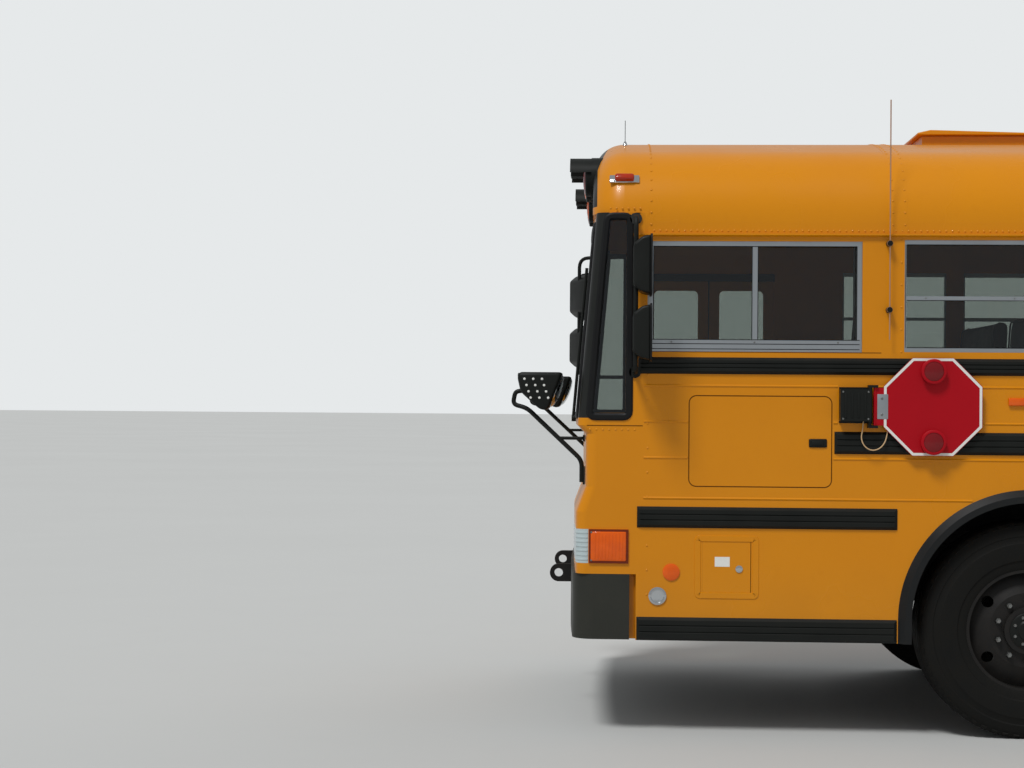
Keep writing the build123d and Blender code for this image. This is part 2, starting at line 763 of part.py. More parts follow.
def windshield_panes():
    """The glass of the four front openings, bowed and raked like the skin and a little inside it."""
    outer = nose_block(MASK_X, frame_zone(), BOW, CORNER_R, GLASS_INSET)
    inner = nose_block(MASK_X - WALL, frame_zone(), BOW, CORNER_R, GLASS_INSET + PANE)
    sheet = outer - inner
    return [sheet & opening for opening in windshield_openings(SEAT_CLEARANCE)]


def headlamp(side, margin):
    """The clear lamp that wraps round a front corner, or its pocket when given a margin."""
    corner_x = MASK_ZONES[0][2]
    z = grown(LAMP_Z, margin)
    zone = (*z, corner_x, corner_x)
    lens = nose_block(MASK_X, zone, BOW, CORNER_R, 0.0)
    lens = lens - nose_block(MASK_X - WALL, zone, BOW, CORNER_R, LENS_DEPTH + margin)
    y = (side * (LAMP_IN_Y - margin), side * (HALF_WIDTH + WALL))
    return lens & box((LAMP_REAR_X - margin, corner_x + 2 * BOW), y, grown(z, WALL))


def turn_lamp(side, margin):
    """The turn lamp in the side of the front corner, or its pocket when given a margin."""
    y = (side * (HALF_WIDTH - LENS_DEPTH - margin), side * (HALF_WIDTH + TURN_OUT))
    return box(grown(TURN_X, margin), y, grown(LAMP_Z, margin))


def front_mask():
    """The front panel below the windshield, in zones, with the skirt ends beside the bumper."""
    mask = None
    for zone in MASK_ZONES:
        shell = nose_shell(MASK_X, zone, BOW, CORNER_R, WALL)
        mask = shell if mask is None else mask + shell
    for side in (1, -1):
        y = (side * (HALF_WIDTH - WALL), side * HALF_WIDTH)
        mask = mask + box((MASK_X, SKIRT_FRONT_X), y, (SKIRT_Z, BUMPER_Z[1]))
    for side in (1, -1):
        mask = mask - headlamp(side, SEAT_CLEARANCE) - turn_lamp(side, SEAT_CLEARANCE)
    return mask


# Roof
def rounded_end(seam_x, end_x, edge_r, inset):
    """The body's section closed by an end whose roof edge is rounded, drawn in by the inset."""
    way = 1 if end_x > seam_x else -1
    face_x = end_x - way * inset
    block = roof_length(inset, (seam_x, face_x))
    rim = [
        edge
        for edge in block.edges()
        if abs(edge.center().X - face_x) < 1 and edge.center().Z > SKIRT_Z + WALL
    ]
    return fillet(rim, edge_r - inset)


def roof_cap(seam_x, end_x, low_z, edge_r):
    """A roof cap: the rounded end as a shell, with pockets for its warning lamps."""
    way = 1 if end_x > seam_x else -1
    shell = rounded_end(seam_x, end_x, edge_r, 0.0) - rounded_end(seam_x, end_x, edge_r, WALL)
    keep = box((seam_x, end_x + way * WALL), (-2 * HALF_WIDTH, 2 * HALF_WIDTH), (low_z, 2 * CROWN_Z))
    shell = shell & keep
    start_x = end_x - way * (WARNING_SINK + SEAT_CLEARANCE)
    for y in warning_lamp_y():
        ends = ((start_x, y, WARNING_Z), (end_x + way * WALL, y, WARNING_Z))
        shell = shell - rod(*ends, WARNING_R + SEAT_CLEARANCE)
    return shell


def roof_shell():
    """The roof between its two caps, with the hatch openings and their curbs, and the drip rails."""
    x = (REAR_SEAM_X, CAP_X)
    shell = roof_length(0.0, x) - roof_length(WALL, x)
    shell = shell & box(x, (-2 * HALF_WIDTH, 2 * HALF_WIDTH), (CANT_Z, 2 * CROWN_Z))
    for _, middle in HATCHES:
        curb_y = (-HATCH_HALF, HATCH_HALF)
        shell = shell + box(grown((middle, middle), HATCH_HALF), curb_y, (CROWN_Z - WALL, HATCH_CURB_Z))
    hole = HATCH_HALF - HATCH_CURB
    for _, middle in HATCHES:
        shell = shell - box(grown((middle, middle), hole), (-hole, hole), (CROWN_Z - 3 * WALL, 2 * CROWN_Z))
    for side in (1, -1):
        shell = shell + drip_rail(side)
    return shell


def drip_rail(side):
    """The gutter over one side's windows, a strip with a sloped underside."""
    skin = side * HALF_WIDTH
    out = side * (HALF_WIDTH + DRIP_OUT)
    low, high = CANT_Z, CANT_Z + 2 * DRIP_HALF
    outline = [(skin, low), (out, low + DRIP_HALF), (out, high), (skin, high)]
    return end_prism(outline, (REAR_SEAM_X, DRIP_FRONT_X))


def hatch_lid(middle):
    """A wedge lid, highest near its hinged front edge, that overhangs its curb."""
    out = HATCH_HALF + HATCH_CURB
    low = HATCH_CURB_Z + SEAT_CLEARANCE
    lip = low + HATCH_LIP
    side_view = [
        (middle - out, low),
        (middle + out, low),
        (middle + out, lip),
        (middle + out - HATCH_NOSE, HATCH_TOP_Z),
        (middle - out, lip),
    ]
    end_view = [
        (-out, low),
        (out, low),
        (out, lip),
        (out - HATCH_NOSE, HATCH_TOP_Z),
        (HATCH_NOSE - out, HATCH_TOP_Z),
        (-out, lip),
    ]
    return side_prism(side_view, (-out, out)) & end_prism(end_view, (middle - out, middle + out))


# Rear end
def tail_lamp(side, z, radius, sink):
    """One round tail lamp, sunk a little into the rear wall."""
    y = side * TAIL_LAMP_Y
    return rod((REAR_X + sink, y, z), (REAR_X - REAR_BOW - LENS_DEPTH, y, z), radius)


def rear_wall():
    """The rear wall with its wrapped corners, the engine door's opening and the rear window's."""
    zone = (SKIRT_Z, CANT_Z, REAR_X, REAR_X)
    wall = nose_shell(REAR_SEAM_X, zone, REAR_BOW, REAR_CORNER_R, WALL)
    through = (REAR_X - 2 * WALL, REAR_X + 3 * WALL)
    wall = wall - box(through, (-ENGINE_DOOR_Y, ENGINE_DOOR_Y), ENGINE_DOOR_Z)
    wall = wall - end_panel((-REAR_WINDOW_Y, REAR_WINDOW_Y), REAR_WINDOW_Z, through, REAR_WINDOW_CORNER)
    for side in (1, -1):
        wall = wall - tow_slot(side, through)
        for lamp_z, radius in TAIL_LAMPS:
            wall = wall - tail_lamp(side, lamp_z, radius + SEAT_CLEARANCE, LENS_DEPTH + SEAT_CLEARANCE)
    return wall


def rear_window_pane():
    """The glass of the rear window, set in the middle of the wall."""
    x = (REAR_X + WALL / 2 - PANE, REAR_X + WALL / 2)
    y = grown((-REAR_WINDOW_Y, REAR_WINDOW_Y), -SEAT_CLEARANCE)
    z = grown(REAR_WINDOW_Z, -SEAT_CLEARANCE)
    return end_panel(y, z, x, REAR_WINDOW_CORNER - SEAT_CLEARANCE)


def engine_door():
    """The engine door in the rear wall, with a bank of sloped louvres."""
    y = ENGINE_DOOR_Y - DOOR_GAP
    z = (ENGINE_DOOR_Z[0] + DOOR_GAP, ENGINE_DOOR_Z[1] - SEAT_CLEARANCE)
    outside = REAR_X - REAR_BOW
    inside = REAR_X + LID_PLATE
    door = box((outside, inside), (-y, y), z)
    first = (z[0] + z[1] - LOUVRE_PITCH * (LOUVRE_COUNT - 1) - LOUVRE_OPEN - LOUVRE_RISE) / 2
    for row in range(LOUVRE_COUNT):
        low = first + row * LOUVRE_PITCH
        slot = [
            (outside - DOOR_GAP, low),
            (outside - DOOR_GAP, low + LOUVRE_OPEN),
            (inside + DOOR_GAP, low + LOUVRE_OPEN + LOUVRE_RISE),
            (inside + DOOR_GAP, low + LOUVRE_RISE),
        ]
        door = door - side_prism(slot, (-LOUVRE_HALF_Y, LOUVRE_HALF_Y))
    return door


# Floor
def wheelhouses():
    """The four boxes over the wheels, each open below and towards the side wall."""
    houses = []
    low = FLOOR_Z - FLOOR_PLATE
    for axle_x in (0.0, REAR_AXLE_X):
        for side in (1, -1):
            x = grown((axle_x, axle_x), WHEELHOUSE_HALF)
            wall_y = side * (HALF_WIDTH - WALL)
            inner_y = side * WHEELHOUSE_IN
            outer = box(x, (inner_y, wall_y), (low, WHEELHOUSE_TOP + HOUSE_WALL))
            hollow_y = (inner_y + side * HOUSE_WALL, wall_y + side * WALL)
            houses.append(outer - box(grown(x, -HOUSE_WALL), hollow_y, (low - WALL, WHEELHOUSE_TOP)))
    return houses


def body_floor():
    """The floor plate, notched for the wheelhouses, the step-well and the engine bay."""
    half = HALF_WIDTH - WALL
    z = (FLOOR_Z - FLOOR_PLATE, FLOOR_Z)
    cut_z = grown(z, WALL)
    floor = box((DECK_X, FLOOR_FRONT_X), (-half, half), z)
    for axle_x in (0.0, REAR_AXLE_X):
        for side in (1, -1):
            y = (side * WHEELHOUSE_IN, side * HALF_WIDTH)
            floor = floor - box(grown((axle_x, axle_x), WHEELHOUSE_HALF), y, cut_z)
    return floor - box(grown(ENTRANCE_X, STEP_PLATE), (-HALF_WIDTH, STEP_PLATE - WELL_IN_Y), cut_z)


def entrance_steps():
    """The steps inside the entrance: treads, risers and the two side plates of the well."""
    plates = []
    half = HALF_WIDTH - WALL
    out_y = -half
    for step in range(STEP_COUNT):
        top = STEP_LOW_Z + step * STEP_RISE
        low = top - STEP_PLATE
        in_y = STEP_RUN * step - STEP_OUT_Y
        plates.append(box(ENTRANCE_X, (out_y, in_y), (low, top)))
        plates.append(box(ENTRANCE_X, (in_y, in_y + STEP_PLATE), (low, low + STEP_RISE)))
        out_y = in_y + (STEP_PLATE if step < STEP_COUNT - 1 else 0.0)
    last = STEP_PLATE - WELL_IN_Y
    for x in (ENTRANCE_X[0] - STEP_PLATE, ENTRANCE_X[1]):
        plates.append(box((x, x + STEP_PLATE), (-half, last), (STEP_LOW_Z - STEP_PLATE, FLOOR_Z)))
    return plates


def engine_deck():
    """The raised deck over the engine bay, open below."""
    half = HALF_WIDTH - WALL
    low = FLOOR_Z - FLOOR_PLATE
    deck = box((REAR_SEAM_X, DECK_X), (-half, half), (low, DECK_Z))
    inside_y = grown((-half, half), -HOUSE_WALL)
    return deck - box((REAR_SEAM_X - WALL, DECK_X - HOUSE_WALL), inside_y, (low - WALL, DECK_Z - HOUSE_WALL))


# Bumpers and tow eyes
def bumper(back_x, corner_x, z):
    """A wrapped bumper: a pressed plate with a flange along its top and its bottom edge."""
    way = 1 if corner_x > back_x else -1
    shell = nose_block(back_x, (*z, corner_x, corner_x), BOW, BUMPER_R, 0.0)
    inner_z = grown(z, -BUMPER_PLATE)
    hollow_x = back_x - way * BUMPER_PLATE
    shell = shell - nose_block(hollow_x, (*inner_z, corner_x, corner_x), BOW, BUMPER_R, BUMPER_PLATE)
    if abs(corner_x - back_x) > BUMPER_FLANGE + BUMPER_R:
        open_y = grown((-HALF_WIDTH, HALF_WIDTH), -BUMPER_FLANGE)
        shell = shell - box((hollow_x, corner_x - way * BUMPER_FLANGE), open_y, grown(z, BUMPER_PLATE))
    for side in (1, -1):
        shell = shell - tow_slot(side, (hollow_x, corner_x + way * 2 * BUMPER_R))
    return shell


def tow_slot(side, x):
    """The slot that lets a tow plate through a bumper or a wall."""
    y = (side * (RAIL_Y - TOW_PLATE - TOW_SLOT_GAP), side * (RAIL_Y + TOW_SLOT_GAP))
    return box(x, y, grown((TOW_EYE_Z, TOW_EYE_Z), TOW_HALF + TOW_SLOT_GAP))


def tow_plates():
    """Tow eyes on the ends of the rails: each a plate across the bus with a bore along Y."""
    plates = []
    for root_x, tip_x in ((RAIL_X[1], TOW_FRONT_X), (RAIL_X[0], TOW_REAR_X)):
        way = 1 if tip_x > root_x else -1
        eye_x = tip_x - way * TOW_HALF
        for side in (1, -1):
            y = (side * (RAIL_Y - TOW_PLATE), side * RAIL_Y)
            plate = box((root_x, eye_x), y, grown((TOW_EYE_Z, TOW_EYE_Z), TOW_HALF))
            plate = plate + rod((eye_x, y[0], TOW_EYE_Z), (eye_x, y[1], TOW_EYE_Z), TOW_HALF)
            far_y = (y[0] - side * TOW_PLATE, y[1] + side * TOW_PLATE)
            plates.append(plate - rod((eye_x, far_y[0], TOW_EYE_Z), (eye_x, far_y[1], TOW_EYE_Z), TOW_EYE_R))
    return plates


# Chassis
def chassis_rails():
    """The two channel rails, open towards each other."""
    rails = []
    for side in (1, -1):
        web = side * RAIL_Y
        rail = box(RAIL_X, (web, web - side * RAIL_FLANGE), RAIL_Z)
        hollow_y = (web - side * RAIL_PLATE, web - side * 2 * RAIL_FLANGE)
        rails.append(rail - box(grown(RAIL_X, RAIL_PLATE), hollow_y, grown(RAIL_Z, -RAIL_PLATE)))
    return rails


def cross_stations():
    """The stations of the cross-members: by each axle, at the front, and evenly in between."""
    front = -CROSS_BESIDE_AXLE
    rear = REAR_AXLE_X + CROSS_BESIDE_AXLE
    bays = max(1, round((front - rear) / CROSS_PITCH))
    between = [front + (rear - front) * bay / bays for bay in range(bays + 1)]
    return [CROSS_FRONT_X, CROSS_BESIDE_AXLE, *between, REAR_AXLE_X - CROSS_BESIDE_AXLE]


def cross_members():
    """Members between the rails, and the sills on top of them that carry the floor."""
    members = []
    inner = RAIL_Y - RAIL_PLATE
    z = grown(RAIL_Z, -CROSS_MARGIN)
    for station in cross_stations():
        members.append(box(grown((station, station), CROSS_HALF), (-inner, inner), z))
    sill_y = grown((-RAIL_Y, RAIL_Y), SILL_OUT)
    for bay in range(SILL_COUNT):
        station = SILL_FRONT_X - SILL_PITCH * bay
        if station > DECK_X + CROSS_HALF:
            x = grown((station, station), CROSS_HALF)
            members.append(box(x, sill_y, (RAIL_Z[1], FLOOR_Z - FLOOR_PLATE)))
    return members


def fuel_tank():
    """A rounded tank slung beside the right rail on two hangers."""
    tank = box(TANK_X, TANK_Y, TANK_Z)
    tank = fillet(tank.edges().filter_by(Axis.X), TANK_R)
    for share in TANK_HANGERS:
        station = TANK_X[0] + share * (TANK_X[1] - TANK_X[0])
        hanger_y = (TANK_Y[1] - TANK_R, -RAIL_Y)
        hanger_z = (TANK_Z[1] - 4 * TANK_R, TANK_Z[1] - 2 * TANK_R)
        tank = tank + box(grown((station, station), CROSS_HALF), hanger_y, hanger_z)
    return tank


def exhaust():
    """A silencer beside the engine on its hanger, and its tail pipe under the bumper."""
    muffler = rod((MUFFLER_X[0], PIPE_Y, MUFFLER_Z), (MUFFLER_X[1], PIPE_Y, MUFFLER_Z), MUFFLER_R)
    route = [
        (MUFFLER_X[0] + MUFFLER_R, PIPE_Y, MUFFLER_Z),
        (MUFFLER_X[0] - MUFFLER_R, PIPE_Y, MUFFLER_Z),
        (MUFFLER_X[0] - PIPE_DROP, PIPE_Y, PIPE_Z),
        (PIPE_END_X, PIPE_Y, PIPE_Z),
    ]
    tail = bent_tube(route, [MUFFLER_R, MUFFLER_R], PIPE_R)
    hanger_z = (MUFFLER_Z + HANGER_LIFT[0], MUFFLER_Z + HANGER_LIFT[1])
    return muffler + tail + box(HANGER_X, (RAIL_Y, PIPE_Y), hanger_z)


# Axles and wheels
def front_axle():
    """A dropped forged beam whose ends rise to the two kingpin eyes."""
    level_y = KINGPIN_Y - EYE_R - YOKE_GAP
    top = EYE_Z[1] - YOKE_PLATE
    right_half = [(BEAM_DROP_Y, BEAM_Z[0]), (level_y, EYE_Z[0]), (KINGPIN_Y, EYE_Z[0])]
    right_half += [(KINGPIN_Y, top), (level_y, top), (BEAM_DROP_Y, BEAM_Z[1])]
    left_half = [(-y, z) for y, z in reversed(right_half)]
    beam = end_prism(right_half + left_half, (-BEAM_HALF_X, BEAM_HALF_X))
    for y in (KINGPIN_Y, -KINGPIN_Y):
        beam = beam + rod((0, y, EYE_Z[0]), (0, y, EYE_Z[1]), EYE_R)
    for y in (KINGPIN_Y, -KINGPIN_Y):
        beam = beam - rod((0, y, EYE_Z[0] - EYE_R), (0, y, EYE_Z[1] + EYE_R), PIN_R + HUB_GAP)
    return beam


def knuckle(side):
    """A steering knuckle: yoke, kingpin, brake carrier, spindle and the arm for the tie rod."""
    pin_y = side * KINGPIN_Y
    carrier = (side * CARRIER_Y[0], side * CARRIER_Y[1])
    piece = rod((0, carrier[0], WHEEL_R), (0, carrier[1], WHEEL_R), CARRIER_R)
    piece = piece + rod((0, carrier[1], WHEEL_R), (0, side * SPINDLE_END_Y, WHEEL_R), SPINDLE_R)
    upper = (EYE_Z[1] + YOKE_GAP, EYE_Z[1] + YOKE_GAP + YOKE_PLATE)
    lower = (EYE_Z[0] - YOKE_GAP - YOKE_PLATE, EYE_Z[0] - YOKE_GAP)
    for z in (upper, lower):
        piece = piece + rod((0, pin_y, z[0]), (0, pin_y, z[1]), EYE_R)
        piece = piece + box((-EYE_R, EYE_R), (pin_y, carrier[0]), z)
    piece = piece + rod((0, pin_y, lower[0]), (0, pin_y, upper[1]), PIN_R)
    piece = piece + box((-ARM_LENGTH, 0), (pin_y - ARM_HALF, pin_y + ARM_HALF), lower)
    return piece + rod((-ARM_LENGTH, pin_y, lower[0]), (-ARM_LENGTH, pin_y, lower[1]), ARM_HALF)


def tie_rod():
    """The rod between the two steering arms, under them, with an eye at each end."""
    top = EYE_Z[0] - YOKE_GAP - YOKE_PLATE - SEAT_CLEARANCE
    middle = top - TIE_R
    bar = rod((-ARM_LENGTH, -KINGPIN_Y, middle), (-ARM_LENGTH, KINGPIN_Y, middle), TIE_R * 0.8)
    for y in (KINGPIN_Y, -KINGPIN_Y):
        bar = bar + rod((-ARM_LENGTH, y, top - 2 * TIE_R), (-ARM_LENGTH, y, top), ARM_HALF * 0.9)
    return bar


def leaf_springs():
    """A bundle of leaves over each end of both axles, hung from the rails by two brackets."""
    springs = []
    for axle_x, seat_z in ((0.0, BEAM_Z[1]), (REAR_AXLE_X, WHEEL_R + AXLE_TUBE_R)):
        end_z = seat_z + SPRING_SAG
        low = [(-SPRING_HALF, end_z), (-SPRING_SEAT, seat_z), (SPRING_SEAT, seat_z), (SPRING_HALF, end_z)]
        high = [(SPRING_HALF, end_z + LEAF), (SPRING_SEAT, seat_z + 3 * LEAF)]
        high += [(-SPRING_SEAT, seat_z + 3 * LEAF), (-SPRING_HALF, end_z + LEAF)]
        outline = [(axle_x + x, z) for x, z in low + high]
        for side in (1, -1):
            y = (side * (SPRING_Y - SPRING_WIDTH / 2), side * (SPRING_Y + SPRING_WIDTH / 2))
            spring = side_prism(outline, y)
            for end in (-1, 1):
                station = axle_x + end * (SPRING_HALF - SPRING_EYE)
                bracket_z = (end_z, RAIL_Z[0] + 2 * SPRING_EYE)
                spring = spring + box(grown((station, station), SPRING_EYE), (side * RAIL_Y, y[1]), bracket_z)
            springs.append(spring)
    return springs


def rear_axle():
    """A tube axle with the bowl of its differential and a brake carrier at each end."""
    axle = rod((REAR_AXLE_X, -REAR_STUB_Y, WHEEL_R), (REAR_AXLE_X, REAR_STUB_Y, WHEEL_R), AXLE_TUBE_R)
    ends = [(DIFF_PROFILE[0][0], 0.0), *DIFF_PROFILE, (DIFF_PROFILE[-1][0], 0.0)]
    wire = Wire.make_polygon([(REAR_AXLE_X + offset, 0, WHEEL_R + r) for offset, r in ends])
    axle = axle + Solid.revolve(Face(wire), 360.0, Axis((REAR_AXLE_X, 0, WHEEL_R), (1, 0, 0)))
    for side in (1, -1):
        inner_y, outer_y = (side * y for y in REAR_CARRIER_Y)
        axle = axle + rod((REAR_AXLE_X, inner_y, WHEEL_R), (REAR_AXLE_X, outer_y, WHEEL_R), REAR_DRUM_R)
    return axle


def tyre(x, middle_y):
    """One tyre about the axle, with a flat tread, chamfered shoulders and sloped walls."""
    half = TYRE_WIDTH / 2
    bead = half - BEAD_SET
    profile = [
        (BEAD_R, -bead),
        (BEAD_R, bead),
        (WHEEL_R - 2 * TYRE_SHOULDER, half),
        (WHEEL_R, half - TYRE_SHOULDER),
        (WHEEL_R, TYRE_SHOULDER - half),
        (WHEEL_R - 2 * TYRE_SHOULDER, -half),
    ]
    return turned(profile, x, middle_y)


def rim(x, middle_y, side, root, dish, hub, bore_r):
    """
    A steel wheel turned about its axis. Offsets run outboard from its middle: root is where
    the cone of the disc leaves the barrel, dish is the disc's face, and hub the hub's ends.
    """
    bead = TYRE_WIDTH / 2 - BEAD_SET
    seat = BEAD_R - SEAT_CLEARANCE
    barrel = seat - RIM_PLATE
    profile = [
        (seat, -bead),
        (seat, bead),
        (barrel, bead),
        (barrel, root + RIM_PLATE),
        (FACE_R, dish),
        (HUB_R, dish),
        (HUB_R, hub[1]),
        (0.0, hub[1]),
        (0.0, hub[1] - HUB_CAP),
        (bore_r, hub[1] - HUB_CAP),
        (bore_r, hub[0]),
        (HUB_R, hub[0]),
        (HUB_R, dish - RIM_PLATE),
        (FACE_R, dish - RIM_PLATE),
        (barrel, root),
        (barrel, -bead),
    ]
    return turned([(r, side * offset) for r, offset in profile], x, middle_y)


def inner_rim(x, middle_y, side):
    """The inner wheel of a pair: its disc stands out of the barrel to meet the outer disc."""
    bead = TYRE_WIDTH / 2 - BEAD_SET
    seat = BEAD_R - SEAT_CLEARANCE
    barrel = seat - RIM_PLATE
    dish = TWIN_PITCH / 2
    profile = [
        (seat, -bead),
        (seat, bead),
        (barrel, dish),
        (HUB_R, dish),
        (HUB_R, dish - RIM_PLATE),
        (barrel - RIM_PLATE, dish - RIM_PLATE),
        (barrel, -bead),
    ]
    return turned([(r, side * offset) for r, offset in profile], x, middle_y)


def hand_holes(x, low_y, high_y):
    """The round holes between the hub and the barrel of a wheel, as bars that cut them."""
    bars = []
    for hole in range(HAND_HOLE_COUNT):
        turn = 2 * pi * (hole + 0.5) / HAND_HOLE_COUNT
        hole_x = x + HAND_RING_R * cos(turn)
        z = WHEEL_R + HAND_RING_R * sin(turn)
        bars.append(rod((hole_x, low_y, z), (hole_x, high_y, z), HAND_HOLE_R))
    return bars


def front_wheel(side):
    """The rim of one front wheel with its hand holes."""
    middle_y = side * TRACK_Y
    wheel = rim(0.0, middle_y, side, FRONT_ROOT, FRONT_DISH, FRONT_HUB, SPINDLE_R + HUB_GAP)
    for bar in hand_holes(0.0, middle_y, middle_y + side * TYRE_WIDTH / 2):
        wheel = wheel - bar
    return wheel


def twin_wheel(side):
    """The two rims of a rear wheel, disc to disc, with hand holes through both."""
    outer_y = side * TRACK_Y
    inner_y = side * (TRACK_Y - TWIN_PITCH)
    dish = RIM_PLATE - TWIN_PITCH / 2
    wheel = rim(REAR_AXLE_X, outer_y, side, REAR_ROOT, dish, REAR_HUB, AXLE_TUBE_R + HUB_GAP)
    wheel = wheel + inner_rim(REAR_AXLE_X, inner_y, side)
    for bar in hand_holes(REAR_AXLE_X, inner_y + side * TYRE_WIDTH / 4, outer_y):
        wheel = wheel - bar
    return wheel


# Trim
def rub_rails(side):
    """The pressed rails of one side, each in the stretches that doors and wheel arches leave."""
    pieces = []
    reach = ARCH_R + FLARE_WIDTH
    arches = [(axle_x - reach, axle_x + reach) for axle_x in (0.0, REAR_AXLE_X)]
    for low, height, left_x in RUB_RAILS:
        stretches = [(REAR_SEAM_X, left_x if side > 0 else RIGHT_FRONT_X)]
        gaps = list(arches) if low < ARCH_Z + reach else []
        if side > 0 and low > EMERGENCY_Z[0] - WALL:
            gaps.append(emergency_x())
        for gap in gaps:
            stretches = [piece for stretch in stretches for piece in split(stretch, [gap])]
        pieces += [rub_rail(stretch, (low, low + height), side) for stretch in stretches]
    return pieces


def rub_rail(x, z, side):
    """One rail: a raised strip with ribs along it, bevelled edges and sloped ends."""
    skin = side * HALF_WIDTH
    out = side * (HALF_WIDTH + RAIL_OUT)
    valley = out - side * RAIL_GROOVE
    outline = [(skin, z[0])]
    pitch = (z[1] - z[0] - 2 * RAIL_BEVEL) / RAIL_RIB_COUNT
    for rib in range(RAIL_RIB_COUNT):
        foot = z[0] + RAIL_BEVEL + rib * pitch
        if rib > 0:
            outline.append((valley, foot))
        outline += [(out, foot + RAIL_GROOVE), (out, foot + pitch - RAIL_GROOVE)]
    outline.append((skin, z[1]))
    ends = [
        (x[0], skin - side),
        (x[1], skin - side),
        (x[1], skin + side * RAIL_GROOVE),
        (x[1] - RAIL_END, out + side),
        (x[0] + RAIL_END, out + side),
        (x[0], skin + side * RAIL_GROOVE),
    ]
    wire = Wire.make_polygon([(px, py, z[0] - 1) for px, py in ends])
    return end_prism(outline, x) & Solid.extrude(Face(wire), Vector(0, 0, z[1] - z[0] + 2))


def arch_trim(axle_x, side):
    """The rubber lip round one wheel arch, a bevelled band that stands proud of the wall."""
    outline = [
        (ARCH_R, HALF_WIDTH),
        (ARCH_R, HALF_WIDTH + FLARE_OUT),
        (ARCH_R + FLARE_WIDTH / 2, HALF_WIDTH + FLARE_OUT),
        (ARCH_R + FLARE_WIDTH, HALF_WIDTH),
    ]
    wire = Wire.make_polygon([(axle_x + r, side * y, ARCH_Z) for r, y in outline])
    band = Solid.revolve(Face(wire), 180.0, Axis((axle_x, 0, ARCH_Z), (0, -1, 0)))
    for way in (1, -1):
        foot = Wire.make_polygon([(axle_x + way * r, side * y, ARCH_Z) for r, y in outline])
        band = band + Solid.extrude(Face(foot), Vector(0, 0, SKIRT_Z - ARCH_Z))
    return band


# Doors and lids in the sides
def glazed_leaf(x, z, y, stile, glass_heights):
    """A door leaf with a window in it for each (low, high) height pair, and the panes."""
    leaf = box(x, y, z)
    panes = []
    hole_x = grown(x, -stile)
    middle = (y[0] + y[1]) / 2
    for glass_z in glass_heights:
        leaf = leaf - side_panel(hole_x, glass_z, (y[0] - WALL, y[1] + WALL), DOOR_CORNER)
        pane_x = grown(hole_x, -SEAT_CLEARANCE)
        pane_z = grown(glass_z, -SEAT_CLEARANCE)
        pane_y = (middle - PANE / 2, middle + PANE / 2)
        panes.append(side_panel(pane_x, pane_z, pane_y, DOOR_CORNER - SEAT_CLEARANCE))
    return leaf, panes


def entrance_leaves():
    """The two leaves of the entrance door by name, each with its panes."""
    middle = (ENTRANCE_X[0] + ENTRANCE_X[1]) / 2
    y = (-HALF_WIDTH, -HALF_WIDTH + DOOR_LEAF)
    z = (ENTRANCE_Z[0], ENTRANCE_Z[1] - DOOR_GAP)
    front_x = (middle + DOOR_GAP / 2, ENTRANCE_X[1] - SEAT_CLEARANCE)
    rear_x = (ENTRANCE_X[0] + SEAT_CLEARANCE, middle - DOOR_GAP / 2)
    return {
        "front": glazed_leaf(front_x, z, y, LEAF_STILE, LEAF_GLASS_Z),
        "rear": glazed_leaf(rear_x, z, y, LEAF_STILE, LEAF_GLASS_Z),
    }


def emergency_door():
    """The emergency door in the left wall with the rub rails that cross it, and its pane."""
    rear, front = emergency_x()
    x = (rear + DOOR_GAP, front - SEAT_CLEARANCE)
    z = (EMERGENCY_Z[0] + DOOR_GAP, EMERGENCY_Z[1] - DOOR_GAP)
    y = (HALF_WIDTH - DOOR_LEAF, HALF_WIDTH)
    door, panes = glazed_leaf(x, z, y, EMERGENCY_STILE, [EMERGENCY_GLASS_Z])
    for low, height, _ in RUB_RAILS[:2]:
        door = door + rub_rail((x[0], x[1] - 2 * RAIL_OUT), (low, low + height), 1)
    return door, panes


def access_door():
    """The large rounded panel under the driver's window."""
    gap = DOOR_GAP / 2
    x = (ACCESS_X[0] + gap, ACCESS_X[1] - SEAT_CLEARANCE)
    return side_panel(x, grown(ACCESS_Z, -gap), (HALF_WIDTH - LID_PLATE, HALF_WIDTH), ACCESS_CORNER - gap)


def service_door():
    """The small square door low in the left wall."""
    gap = DOOR_GAP / 2
    x = (SERVICE_X[0] + gap, SERVICE_X[1] - SEAT_CLEARANCE)
    return box(x, (HALF_WIDTH - LID_PLATE, HALF_WIDTH), grown(SERVICE_Z, -gap))


# Stop arm
def hinge_y():
    """The distance of the stop arm's hinge pin from the middle of the bus."""
    return (SIGN_Y[0] + SIGN_Y[1]) / 2


def stop_arm_box():
    """The motor housing of the stop arm on its base plate, with an ear at each end of the pin."""
    housing = box(BOX_X, (HALF_WIDTH, HALF_WIDTH + BOX_PLATE), BOX_Z)
    body_x = (BOX_X[0] + BOX_MARGIN, BOX_X[1])
    body_z = (BOX_LOW_Z, BOX_Z[1] - BOX_MARGIN)
    housing = housing + box(body_x, (HALF_WIDTH, HALF_WIDTH + BOX_OUT), body_z)
    ear_y = grown((hinge_y(), hinge_y()), 2 * HINGE_R)
    for way in (1, -1):
        inner_z = SIGN_MIDDLE_Z + way * (BRACKET_HALF_Z + SEAT_CLEARANCE)
        ear_z = (inner_z, inner_z + way * EAR_PLATE)
        housing = housing + box((HINGE_X - 2 * HINGE_R, body_x[0] + EAR_PLATE), ear_y, ear_z)
        riser_z = (body_z[0] if way < 0 else body_z[1] - EAR_PLATE, ear_z[1])
        housing = housing + box((body_x[0], body_x[0] + EAR_PLATE), (HALF_WIDTH, ear_y[1]), riser_z)
    return housing


